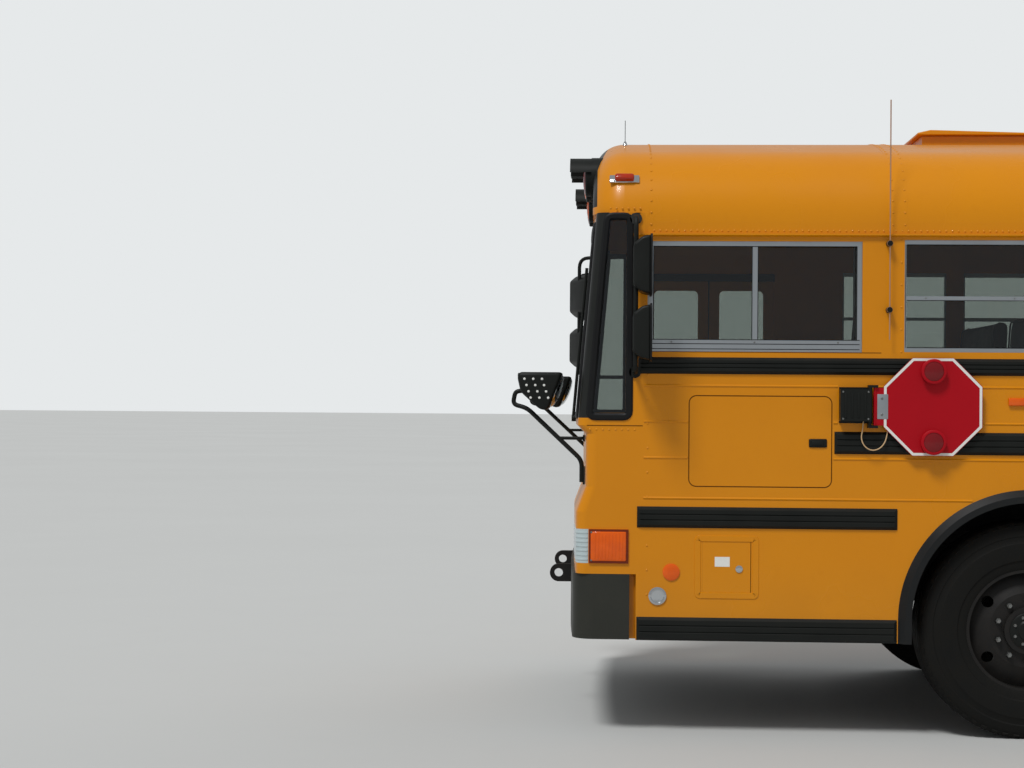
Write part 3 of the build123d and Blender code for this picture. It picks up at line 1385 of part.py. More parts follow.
def stop_arm_blade():
    """The eight-sided sign on its hinge bracket, with a lamp above and below the middle."""
    middle_x = SIGN_REAR_X + SIGN_ACROSS / 2
    plane = Plane(origin=(middle_x, SIGN_Y[0], SIGN_MIDDLE_Z), x_dir=(1, 0, 0), z_dir=(0, 1, 0))
    octagon = RegularPolygon(SIGN_ACROSS / 2, 8, major_radius=False, rotation=22.5)
    blade = extrude(plane * octagon, SIGN_Y[1] - SIGN_Y[0])
    bracket_z = grown((SIGN_MIDDLE_Z, SIGN_MIDDLE_Z), BRACKET_HALF_Z)
    blade = blade + box((middle_x, HINGE_X), SIGN_Y, bracket_z)
    for lift in (SIGN_LAMP_LIFT, -SIGN_LAMP_LIFT):
        z = SIGN_MIDDLE_Z + lift
        ends = ((middle_x, SIGN_Y[0], z), (middle_x, SIGN_Y[1] + SIGN_LAMP_OUT, z))
        blade = blade + rod(*ends, SIGN_LAMP_R)
    return blade + rod((HINGE_X, hinge_y(), bracket_z[0]), (HINGE_X, hinge_y(), bracket_z[1]), HINGE_R)


# Mirrors
def crossview(side):
    """A wedge-shaped crossview housing on a looped tube, with its foot plate and strut."""
    neck = MASK_ZONES[2]
    face_x = front_face_x(neck, CROSS_FOOT_Y - CROSS_FOOT_HALF, CROSS_FOOT_Z[0]) + SEAT_CLEARANCE
    foot_y = side * CROSS_FOOT_Y
    plate_y = grown((foot_y, foot_y), CROSS_FOOT_HALF)
    mirror_piece = box((face_x, face_x + CROSS_PLATE), plate_y, CROSS_FOOT_Z)
    tube_x = face_x + CROSS_PLATE + TUBE_R / 2
    knee = (tube_x, foot_y, CROSS_KNEE_Z)
    route = [(tube_x, foot_y, CROSS_FOOT_Z[0] + TUBE_R), knee]
    route += [(x, side * y, z) for x, y, z in CROSS_ROUTE]
    mirror_piece = mirror_piece + bent_tube(route, CROSS_BENDS, TUBE_R)
    housing_y = (side * CROSS_HOUSING_Y[0], side * CROSS_HOUSING_Y[1])
    mirror_piece = mirror_piece + side_prism(CROSS_HOUSING, housing_y)
    bend_x, bend_y, bend_z = CROSS_ROUTE[0]
    share = (CROSS_STRUT_Z - CROSS_KNEE_Z) / (bend_z - CROSS_KNEE_Z)
    strut_y = CROSS_FOOT_Y + share * (bend_y - CROSS_FOOT_Y)
    start = (tube_x + share * (bend_x - tube_x), side * strut_y, CROSS_STRUT_Z)
    strut_x = front_face_x(neck, strut_y - 2 * CROSS_STRUT_R, CROSS_STRUT_Z) + SEAT_CLEARANCE
    end = (strut_x, side * strut_y, CROSS_STRUT_Z)
    mirror_piece = mirror_piece + rod(start, end, CROSS_STRUT_R)
    return mirror_piece + rod(end, (strut_x + CROSS_PLATE, end[1], end[2]), 2 * CROSS_STRUT_R)


def mirror_housing(x, z, side):
    """One rear-view housing: flat at its glass, and drawn in towards the front."""
    depth = REAR_VIEW_BACK + REAR_VIEW_FRONT
    back_x = x - REAR_VIEW_BACK
    top = [(back_x + share * depth, z[1] - fall) for share, fall in REAR_VIEW_SLOPE]
    bottom = [(back_x + share * depth, z[0] + fall) for share, fall in reversed(REAR_VIEW_SLOPE)]
    outline = [(back_x, z[0]), (back_x, z[1]), *top, *bottom]
    return side_prism(outline, (side * REAR_VIEW_Y[0], side * REAR_VIEW_Y[1]))


def rear_view(side, x):
    """Two stacked mirror housings on a bowed tube that ends on the body at both ends."""
    foot_x = REAR_VIEW_FOOT_X
    out_y = side * (sum(REAR_VIEW_Y) / 2)
    wall_y = side * HALF_WIDTH
    stub_y = side * (HALF_WIDTH + REAR_VIEW_STUB)
    low, high = REAR_VIEW_FEET_Z
    middle = [(x, out_y, high), (x, out_y, low)]
    bends = [REAR_VIEW_BEND, REAR_VIEW_BEND]
    if foot_x != x:
        middle = [(foot_x, stub_y, high), *middle, (foot_x, stub_y, low)]
        bends = [REAR_VIEW_BEND / 2, *bends, REAR_VIEW_BEND / 2]
    piece = bent_tube([(foot_x, wall_y, high), *middle, (foot_x, wall_y, low)], bends, TUBE_R)
    for z in REAR_VIEW_Z:
        piece = piece + mirror_housing(x, z, side)
    return piece


def mirror_frames():
    """Mirror arms and housings at both front corners."""
    return [crossview(side) for side in (1, -1)] + [rear_view(*row) for row in REAR_VIEWS]


# Lamps
def warning_lamp_y():
    """The distances from the middle of the four warning lamps in one roof cap."""
    return [side * y for side in (1, -1) for y in WARNING_Y]


def warning_lamps():
    """Eight hooded lamps: each a round body that is cut away below its visor."""
    lamps = []
    for face_x, way in ((CAP_FRONT_X, 1), (REAR_X, -1)):
        tip_x = face_x + way * HOOD_OUT
        past_x = tip_x + way * HOOD_PLATE
        for y in warning_lamp_y():
            hood = rod((face_x - way * WARNING_SINK, y, WARNING_Z), (tip_x, y, WARNING_Z), WARNING_R)
            inner_r = WARNING_R - HOOD_PLATE
            hood = hood - rod((face_x + way * HOOD_BASE, y, WARNING_Z), (past_x, y, WARNING_Z), inner_r)
            low_z = (WARNING_Z - 2 * WARNING_R, WARNING_Z - HOOD_CUT_LOW)
            cut_y = grown((y, y), 2 * WARNING_R)
            lamps.append(hood - box((face_x + way * HOOD_CUT, past_x), cut_y, low_z))
    return lamps


def body_lamps():
    """Head lamps, turn lamps and tail lamps."""
    lamps = []
    for side in (1, -1):
        lamps += [headlamp(side, 0.0), turn_lamp(side, 0.0)]
        lamps += [tail_lamp(side, lamp_z, radius, LENS_DEPTH) for lamp_z, radius in TAIL_LAMPS]
    return lamps


# Inside
def bench(side, back_x):
    """One bench: a cushion and a raked back in one piece, on two legs by the aisle."""
    low = CUSHION_Z - CUSHION_THICK
    outline = [
        (back_x, low),
        (back_x + CUSHION_DEPTH, low),
        (back_x + CUSHION_DEPTH, CUSHION_Z),
        (back_x + BACK_THICK, CUSHION_Z),
        (back_x + BACK_THICK - BACK_RAKE, BACK_Z),
        (back_x - BACK_RAKE, BACK_Z),
    ]
    wall = HALF_WIDTH - WALL - SEAT_GAP
    seat = side_prism(outline, (side * AISLE_HALF, side * wall))
    leg_y = (side * (AISLE_HALF + LEG_IN), side * (AISLE_HALF + LEG_IN + LEG))
    for offset in LEG_STATIONS:
        leg_x = (back_x + offset, back_x + offset + LEG)
        seat = seat + box(leg_x, leg_y, (FLOOR_Z, low))
    return seat


def bench_seats():
    """Rows of benches on both sides of the aisle; the emergency door's row has none on the left."""
    seats = []
    for side in (1, -1):
        for row in range(SEAT_COUNT):
            if side < 0 or row != AHEAD_OF_EMERGENCY_COUNT:
                seats.append(bench(side, SEAT_FRONT_X - WINDOW_PITCH * row))
    return seats


def driver_seat():
    """The driver's seat on its pedestal."""
    low, top = DRIVER_CUSHION_Z
    seat = box(DRIVER_SEAT_X, DRIVER_SEAT_Y, DRIVER_CUSHION_Z)
    rear = DRIVER_SEAT_X[0]
    outline = [
        (rear, top),
        (rear + DRIVER_BACK_THICK, top),
        (rear + DRIVER_BACK_THICK - DRIVER_BACK_RAKE, DRIVER_BACK_TOP_Z),
        (rear - DRIVER_BACK_RAKE, DRIVER_BACK_TOP_Z),
    ]
    back = side_prism(outline, DRIVER_SEAT_Y)
    pedestal_y = grown(DRIVER_SEAT_Y, -PEDESTAL_IN)
    return seat + back + box(grown(DRIVER_SEAT_X, -PEDESTAL_IN), pedestal_y, (FLOOR_Z, low))


def dashboard():
    """The dash board across the front with the steering column and wheel."""
    board = box(DASH_X, DASH_Y, (FLOOR_Z, DASH_TOP_Z))
    column = rod(COLUMN_FOOT, COLUMN_HEAD, COLUMN_R)
    plane = Plane(origin=COLUMN_HEAD, z_dir=Vector(*COLUMN_HEAD) - Vector(*COLUMN_FOOT))
    wheel = extrude(plane * (Circle(STEERING_R) - Circle(STEERING_R - STEERING_RIM)), STEERING_RIM)
    spokes = plane * Pos(0, 0, STEERING_RIM / 4) * Box(2 * STEERING_R - STEERING_RIM, SPOKE, STEERING_RIM / 2)
    return board + column + wheel + spokes


# Wipers, antenna and cable
def wipers():
    """Two wipers parked against the windshields."""
    pieces = []
    for y in (WIPER_Y, -WIPER_Y):
        low_x, high_x = (front_face_x(frame_zone(), WIPER_Y, z) for z in WIPER_Z)
        foot = (low_x + WIPER_OFF, y, WIPER_Z[0])
        arm = rod(foot, (high_x + WIPER_OFF, y, WIPER_Z[1]), WIPER_R)
        root = (low_x + WIPER_GAP, y, WIPER_Z[0])
        pieces.append(arm + rod(root, (foot[0] + WIPER_R, y, WIPER_Z[0]), 2 * WIPER_R))
    return pieces


def antennas():
    """The long rod beside the first pillar on two stand-offs."""
    y = HALF_WIDTH + ANTENNA_OUT
    whip = rod((ANTENNA_X, y, ANTENNA_Z[0]), (ANTENNA_X, y, ANTENNA_Z[1]), ANTENNA_R)
    for z in STAND_OFF_Z:
        whip = whip + rod((ANTENNA_X, HALF_WIDTH, z), (ANTENNA_X, y, z), STAND_OFF_R)
    return whip


def cable_bends(points):
    """The radius of each bend: 0.45 of the shorter run over the tangent of half the turn."""
    bends = []
    for before, at, after in zip(points, points[1:], points[2:]):
        run_in = Vector(*at) - Vector(*before)
        run_out = Vector(*after) - Vector(*at)
        turn = radians(run_in.get_angle(run_out))
        bends.append(0.45 * min(run_in.length, run_out.length) / tan(turn / 2))
    return bends


def signal_cable():
    """The cable that hangs in a loop from the stop arm's housing to the wall."""
    bends = cable_bends(CABLE_POINTS)
    print("cable bends", [round(bend) for bend in bends])
    return bent_tube(CABLE_POINTS, bends, CABLE_R)


# Writing the pieces
def write_shell():
    """Writes the walls, the roof, the ends and the floor."""
    write("left_side_wall", side_wall(1))
    write("right_side_wall", side_wall(-1))
    write("roof_shell", roof_shell())
    write("front_cap", roof_cap(CAP_X, CAP_FRONT_X, CAP_LOW_Z, CAP_EDGE_R))
    write("rear_cap", roof_cap(REAR_SEAM_X, REAR_X, CANT_Z, REAR_CORNER_R))
    write("front_mask", front_mask())
    write("windshield_frame", windshield_frame())
    write("rear_wall", rear_wall())
    write("body_floor", body_floor())
    write("wheelhouses", *wheelhouses())
    write("entrance_steps", *entrance_steps())
    write("engine_deck", engine_deck())
    write("front_bumper", bumper(BUMPER_BACK_X, BUMPER_FRONT_X, BUMPER_Z))
    write("rear_bumper", bumper(REAR_BUMPER_BACK_X, REAR_BUMPER_X, REAR_BUMPER_Z))


def write_windows():
    """Writes the frames and the panes of all the fixed windows."""
    frames = [window_frame(DRIVER_WINDOW_X, DRIVER_WINDOW_Z, 1, driver_holes())]
    panes = [rear_window_pane(), *windshield_panes(), *sash_panes(driver_holes(), 1)]
    for side, bays in ((1, left_windows()), (-1, window_stations())):
        for bay in bays:
            holes = passenger_holes(bay)
            frames.append(window_frame(bay, (WINDOW_LOW_Z, WINDOW_HIGH_Z), side, holes))
            panes += sash_panes(holes, side)
    write("window_frames", *frames)
    write("window_glass", *panes)


def write_chassis():
    """Writes the frame, the axles, the engine and the wheels."""
    write("chassis_frame", *chassis_rails(), *tow_plates())
    write("cross_members", *cross_members())
    write("engine_block", box(ENGINE_X, (-ENGINE_HALF_Y, ENGINE_HALF_Y), ENGINE_Z))
    write("fuel_tank", fuel_tank())
    write("exhaust", exhaust())
    write("front_axle", front_axle())
    write("rear_axle", rear_axle())
    write("leaf_springs", *leaf_springs())
    write("tie_rod", tie_rod())
    for side, name in ((1, "left"), (-1, "right")):
        write(f"knuckle_{name}", knuckle(side))
        write(f"tyre_front_{name}", tyre(0.0, side * TRACK_Y))
        write(f"rim_front_{name}", front_wheel(side))
        twin_y = (side * TRACK_Y, side * (TRACK_Y - TWIN_PITCH))
        write(f"tyres_rear_{name}", *[tyre(REAR_AXLE_X, y) for y in twin_y])
        write(f"rims_rear_{name}", twin_wheel(side))


def write_doors():
    """Writes every door, lid and hatch with its glass, and the stop arm."""
    for name, (leaf, panes) in entrance_leaves().items():
        write(f"entrance_door_{name}", leaf)
        write(f"entrance_glass_{name}", *panes)
    door, panes = emergency_door()
    write("emergency_door", door)
    write("emergency_door_glass", *panes)
    write("engine_door", engine_door())
    write("access_door", access_door())
    write("service_door", service_door())
    write("stop_arm_box", stop_arm_box())
    write("stop_arm_blade", stop_arm_blade())
    for name, middle in HATCHES:
        write(name, hatch_lid(middle))


def write_fittings():
    """Writes the trim, the lamps, the mirrors and what is inside."""
    write("rub_rails", *rub_rails(1), *rub_rails(-1))
    write("wheel_arch_trims", *[arch_trim(axle_x, side) for axle_x in (0.0, REAR_AXLE_X) for side in (1, -1)])
    write("mirror_frames", *mirror_frames())
    write("warning_lamps", *warning_lamps())
    write("body_lamps", *body_lamps())
    write("bench_seats", *bench_seats())
    write("driver_seat", driver_seat())
    write("dashboard", dashboard())
    write("wipers", *wipers())
    write("antennas", antennas())
    write("signal_cable", signal_cable())


os.makedirs("parts", exist_ok=True)
write_shell()
write_windows()
write_chassis()
write_doors()
write_fittings()
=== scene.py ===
"""Looks of a flat-nosed school bus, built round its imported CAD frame.

Everything is in metres in the frame's own axes: X forward, Y to the driver's left and Z up.
Stations along the bus are measured from the front axle, as in the part's source, and `st`
turns one into an X of the frame.
"""

from __future__ import annotations

import json
import logging
from dataclasses import dataclass, field
from enum import Enum
from math import atan, atan2, ceil, cos, pi, radians, sin
from typing import Iterable, Sequence

import bmesh
import bpy
from mathutils import Matrix, Vector


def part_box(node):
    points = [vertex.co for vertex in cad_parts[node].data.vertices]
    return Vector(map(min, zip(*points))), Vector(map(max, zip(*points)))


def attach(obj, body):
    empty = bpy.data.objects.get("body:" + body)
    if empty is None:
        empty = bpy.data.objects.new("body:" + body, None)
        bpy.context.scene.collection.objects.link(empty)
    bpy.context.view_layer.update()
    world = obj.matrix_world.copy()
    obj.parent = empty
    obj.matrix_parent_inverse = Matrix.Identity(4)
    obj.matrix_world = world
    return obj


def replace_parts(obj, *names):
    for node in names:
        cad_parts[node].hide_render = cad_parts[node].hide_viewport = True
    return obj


LOG = logging.getLogger("school_bus")
Point = tuple[float, float, float]
Flat = tuple[float, float]
Plane = tuple[float, float, float, float]
Tree = bpy.types.NodeTree
Socket = bpy.types.NodeSocket

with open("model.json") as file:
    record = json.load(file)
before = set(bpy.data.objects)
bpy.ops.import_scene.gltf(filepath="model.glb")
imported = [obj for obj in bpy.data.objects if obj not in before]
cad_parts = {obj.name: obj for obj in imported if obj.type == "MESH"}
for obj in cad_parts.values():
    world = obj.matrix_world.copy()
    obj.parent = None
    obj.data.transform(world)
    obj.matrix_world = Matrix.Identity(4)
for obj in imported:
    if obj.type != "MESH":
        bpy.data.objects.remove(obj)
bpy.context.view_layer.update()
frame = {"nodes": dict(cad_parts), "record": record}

# Driving dimensions, read from the frame where a node gives them
TYRE_LOW, TYRE_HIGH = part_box("tyre_front_left")
REAR_TYRE_LOW, REAR_TYRE_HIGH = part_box("tyres_rear_left")
WALL_LOW, WALL_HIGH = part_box("left_side_wall")
AXLE_X = (TYRE_LOW.x + TYRE_HIGH.x) / 2
REAR_AXLE_X = (REAR_TYRE_LOW.x + REAR_TYRE_HIGH.x) / 2
WHEEL_R = (TYRE_HIGH.z - TYRE_LOW.z) / 2
TRACK_Y = (TYRE_LOW.y + TYRE_HIGH.y) / 2
TYRE_WIDTH = TYRE_HIGH.y - TYRE_LOW.y
TWIN_PITCH = REAR_TYRE_HIGH.y - REAR_TYRE_LOW.y - TYRE_WIDTH
HALF_WIDTH = 1.219
FLOOR_Z = 0.980
CANT_Z = WALL_HIGH.z
REAR_SEAM_X = WALL_LOW.x
REAR_FACE_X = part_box("rear_wall")[0].x

# Roof section
EAVES_Z = CANT_Z + 0.068
CROWN_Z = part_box("front_cap")[1].z
EAVES_R = 0.380

# Side windows
WINDOW_FRONT = 0.593
WINDOW_PITCH = 0.711
WINDOW_LENGTH = 0.610
WINDOW_COUNT = 13
EMERGENCY_BAY = 5
WINDOW_LOW_Z = 1.814
WINDOW_HIGH_Z = WINDOW_LOW_Z + 0.525
SASH_Z = WINDOW_LOW_Z + 0.253

# Front end
FRAME_LOW_Z = 1.460
CAP_LOW_Z = CANT_Z + 0.113
CORNER_X = 2.120
FRAME_TOP_X = 2.035
MASK_CORNER_X = 2.125
CAP_FRONT = 2.055
CAP_SEAM = 1.794
CAP_LEAN = 0.31
PANEL_LOW_Z = 2.500
FRAME_LEAN = 0.0846
MASK_SEAM = 1.807
NOSE_BOW = 0.025
NOSE_CORNER_R = 0.050

# Materials: the noise values that patches lie between, the dust over the ground, the clear coat
PATCH_ENDS = (0.3, 0.7)
FAINT_ENDS = (0.55, 0.8)
FAINT_MOST = 0.35
DUST_HEIGHTS = (0.85, 0.40)
DUST_MOST = 0.45
COAT_ROUGHNESS = 0.06


def st(station: float) -> float:
    """The frame's X of a station, both in metres."""
    return AXLE_X + station


class Side(Enum):
    """A side of the bus: its value is the sign of Y."""

    LEFT = 1
    RIGHT = -1


# Materials


def linear(code: str) -> Plane:
    """Turns a colour as a screen shows it into linear light.

    Args:
        code: the colour as a hash and six hex digits.

    Returns:
        Red, green, blue and a full alpha.
    """
    channels = [int(code[i : i + 2], 16) / 255 for i in (1, 3, 5)]
    light = [c / 12.92 if c <= 0.04045 else ((c + 0.055) / 1.055) ** 2.4 for c in channels]
    return (*light, 1.0)


@dataclass(frozen=True)
class Finish:
    """What a surface is made of.

    Attributes:
        name: the real material.
        colour: its main colour, as a screen shows it.
        shade: the colour of its darker or dirtier patches.
        roughness: low and high roughness, mixed by the patches.
        patch: size of the patches in metres.
        grain: size of the fine grain in metres.
        relief: height of the grain in metres.
        metallic: 1 for bare metal.
        coat: weight of a clear coat.
        specular: how strongly a bare surface mirrors; 0.5 is a polished plastic.
        dust: colour of the dirt that gathers low down, or None.
        glow: strength of the colour's own light, for lenses.
    """

    name: str
    colour: str
    shade: str
    roughness: Flat = (0.4, 0.6)
    patch: float = 0.25
    grain: float = 0.002
    relief: float = 0.0001
    metallic: float = 0.0
    coat: float = 0.0
    specular: float = 0.25
    dust: str | None = None
    glow: float = 0.0


@dataclass(frozen=True)
class TwoTone:
    """A finish with a second one painted over a part of it.

    Attributes:
        name: the painted material.
        base: the finish underneath.
        paint: the finish on top.
        any_of: planes (a, b, c, d); paint lies where a X + b |Y| + c Z > d holds for one of them.
        all_of: planes that all have to hold as well.
    """

    name: str
    base: Finish
    paint: Finish
    any_of: tuple[Plane, ...]
    all_of: tuple[Plane, ...] = ()


class Kit:
    """The finishes of the bus."""

    # Gives the eye a deep, slightly wavy gloss over sheet steel, dustier towards the skirt
    ENAMEL = Finish(
        "yellow_enamel", "#d98a02", "#cf8000", (0.24, 0.36), 0.5, 0.004, 0.00003, coat=0.12, dust="#94702f"
    )
    # Paints shade: the brown lines stand for the shadow in the laps and gaps of the yellow sheet
    GAP_SHADE = Finish("painted_gap_shade", "#5b3204", "#472603", (0.55, 0.75), 0.1, 0.002, 0.0001, specular=0.1)
    # Gives a dark satin with faint streaks, as painted pressings have
    BLACK = Finish("black_enamel", "#141614", "#1d1f1d", (0.36, 0.52), 0.18, 0.003, 0.00004, specular=0.16)
    # Gives the bumpers a greyer paint, lighter partly for road dust and partly as a painted sheen
    BUMPER = Finish("bumper_paint", "#2a2b27", "#35352f", (0.42, 0.6), 0.14, 0.003, 0.00006, specular=0.2)
    # Gives the flat, even red of retroreflective sheet
    RED = Finish("red_sheet", "#b10a1a", "#a30616", (0.34, 0.46), 0.2, 0.0015, 0.00002, specular=0.15)
    # Gives the clean white of the sign's border
    WHITE = Finish("white_sheet", "#e9e9e6", "#dcdcd6", (0.35, 0.45), 0.2, 0.0015, 0.00002)
    # Gives a matt black with road dust, as on frames and axles
    CHASSIS = Finish("chassis_paint", "#17181a", "#2c2a27", (0.6, 0.85), 0.12, 0.004, 0.0002, specular=0.15)
    # Gives a dull, grained floor covering
    FLOOR = Finish("floor_rubber", "#232425", "#303030", (0.6, 0.8), 0.3, 0.006, 0.0003, specular=0.15)
    # Gives moulded rubber with a soft highlight
    ARCH = Finish("arch_rubber", "#101111", "#1b1d1e", (0.36, 0.5), 0.2, 0.0015, 0.00006, specular=0.25)
    # Gives clean mill aluminium with a faint mottle
    ALUMINIUM = Finish("window_aluminium", "#b4b9bd", "#9da2a6", (0.3, 0.46), 0.15, 0.0012, 0.00003, 1.0)
    # Gives grey tinted safety glass that mirrors the surroundings
    GLASS = Finish("window_glass", "#aeb8b4", "#a2aeaa", (0.0, 0.02), 0.5, 0.5, 0.0)
    # Gives hot, dull steel with brown stains
    EXHAUST = Finish("exhaust_steel", "#77706a", "#4d3f34", (0.4, 0.7), 0.08, 0.003, 0.0001, 0.9)
    # Gives black tyre rubber that greys with dust in patches
    TYRE = Finish("tyre_rubber", "#111212", "#1d1c19", (0.6, 0.8), 0.09, 0.002, 0.0002, specular=0.12)
    # Gives black wheel enamel with brake dust
    WHEEL = Finish("wheel_paint", "#141516", "#262320", (0.36, 0.55), 0.07, 0.003, 0.0001, specular=0.2)
    # Gives the amber of moulded lamp lenses
    AMBER = Finish(
        "amber_lens", "#e86204", "#c94c02", (0.08, 0.18), 0.05, 0.006, 0.0002, specular=0.4, glow=0.06
    )
    # Gives the red-brown shadow inside a lamp's moulded edge
    LENS_EDGE = Finish("lens_edge", "#7c2a05", "#5c1c04", (0.15, 0.3), 0.05, 0.003, 0.0001, specular=0.3)
    # Gives the red of moulded lamp lenses
    RED_LENS = Finish(
        "red_lens", "#8a0610", "#65030a", (0.08, 0.18), 0.2, 0.004, 0.00004, specular=0.4, glow=0.04
    )
    # Gives the red-orange of the small marker lamps
    MARKER = Finish(
        "marker_lens", "#b5300f", "#8f2109", (0.1, 0.2), 0.03, 0.003, 0.0001, specular=0.4, glow=0.05
    )
    # Gives the front corner lenses a milky blue-grey that paints the reflection of their silvered bowls
    # behind the clear lens
    CLEAR = Finish("clear_lens", "#b9c6c8", "#a3b2b4", (0.06, 0.14), 0.06, 0.008, 0.0002, specular=0.5)
    # Gives brown coated seat fabric with a fine grain
    VINYL = Finish("seat_vinyl", "#3f2a1e", "#2f1f17", (0.5, 0.66), 0.12, 0.0015, 0.0002, specular=0.25)
    # Gives the darker cord along the seams of the seats
    PIPING = Finish("seat_piping", "#241811", "#1b120d", (0.5, 0.66), 0.1, 0.0015, 0.0001, specular=0.2)
    # Gives grained dark plastic
    DASH = Finish("dash_plastic", "#232527", "#191b1c", (0.5, 0.65), 0.2, 0.0015, 0.0002, specular=0.2)
    # Gives the smooth pale jacket of the cable
    JACKET = Finish("cable_jacket", "#d3b48c", "#b8976e", (0.35, 0.5), 0.02, 0.0005, 0.00002)
    # Gives the pale sleeve of the antenna
    SLEEVE = Finish("antenna_sleeve", "#b98f74", "#9d7860", (0.35, 0.5), 0.05, 0.001, 0.00003)
    # Gives bright plated metal
    CHROME = Finish("chrome_plate", "#d0d2d4", "#b2b6b9", (0.05, 0.14), 0.1, 0.001, 0.0, 1.0)
    # Gives the mirror surfaces
    MIRROR = Finish("mirror_glass", "#c4c8ca", "#bcc1c3", (0.0, 0.02), 0.3, 0.5, 0.0, 1.0)
    # Gives dull black rubber of gaskets and seals
    GASKET = Finish("gasket_rubber", "#0d0e0f", "#171819", (0.45, 0.65), 0.1, 0.001, 0.00008, specular=0.2)
    # Gives zinc-plated steel of screws and wheel nuts
    ZINC = Finish("zinc_steel", "#9a9c9b", "#767672", (0.28, 0.5), 0.03, 0.001, 0.00003, 1.0)
    # Gives the satin steel of grab rails and seat frames
    TUBE = Finish("rail_steel", "#8d9092", "#6f7274", (0.3, 0.46), 0.1, 0.001, 0.00003, 1.0)

    # Gives both roof ends their black lamp panel, which wraps over the edge
    FRONT_CAP = TwoTone(
        "front_cap_enamel", ENAMEL, BLACK,
        ((1.0, 0.0, CAP_LEAN, st(1.965) + CAP_LEAN * CROWN_Z), (1.0, 0.0, 0.0, st(2.034))),
        ((0.0, 0.0, 1.0, PANEL_LOW_Z),),
    )
    REAR_CAP = TwoTone(
        "rear_cap_enamel", ENAMEL, BLACK,
        (
            (-1.0, 0.0, CAP_LEAN, CAP_LEAN * CROWN_Z - REAR_FACE_X - 0.085),
            (-1.0, 0.0, 0.0, -0.041 - REAR_FACE_X),
        ),
        ((0.0, 0.0, 1.0, PANEL_LOW_Z),),
    )
    # Gives the corner posts beside the windshield their black paint
    POSTS = TwoTone(
        "front_post_enamel", ENAMEL, BLACK,
        ((1.0, 0.0, FRAME_LEAN, st(CORNER_X) + FRAME_LEAN * FRAME_LOW_Z - 0.060),),
        ((0.0, 1.0, 0.0, 1.100), (0.0, 0.0, 1.0, FRAME_LOW_Z + 0.035)),
    )
    # Gives the front corners clear lenses beside the amber turn lamps
    LAMPS = TwoTone("lamp_lenses", AMBER, CLEAR, ((1.0, 0.0, 0.0, st(2.0635)),))
    # Gives the pale rod its black stand-offs
    ANTENNA = TwoTone("antenna_rod", SLEEVE, BLACK, ((0.0, -1.0, 0.0, -HALF_WIDTH - 0.036),))


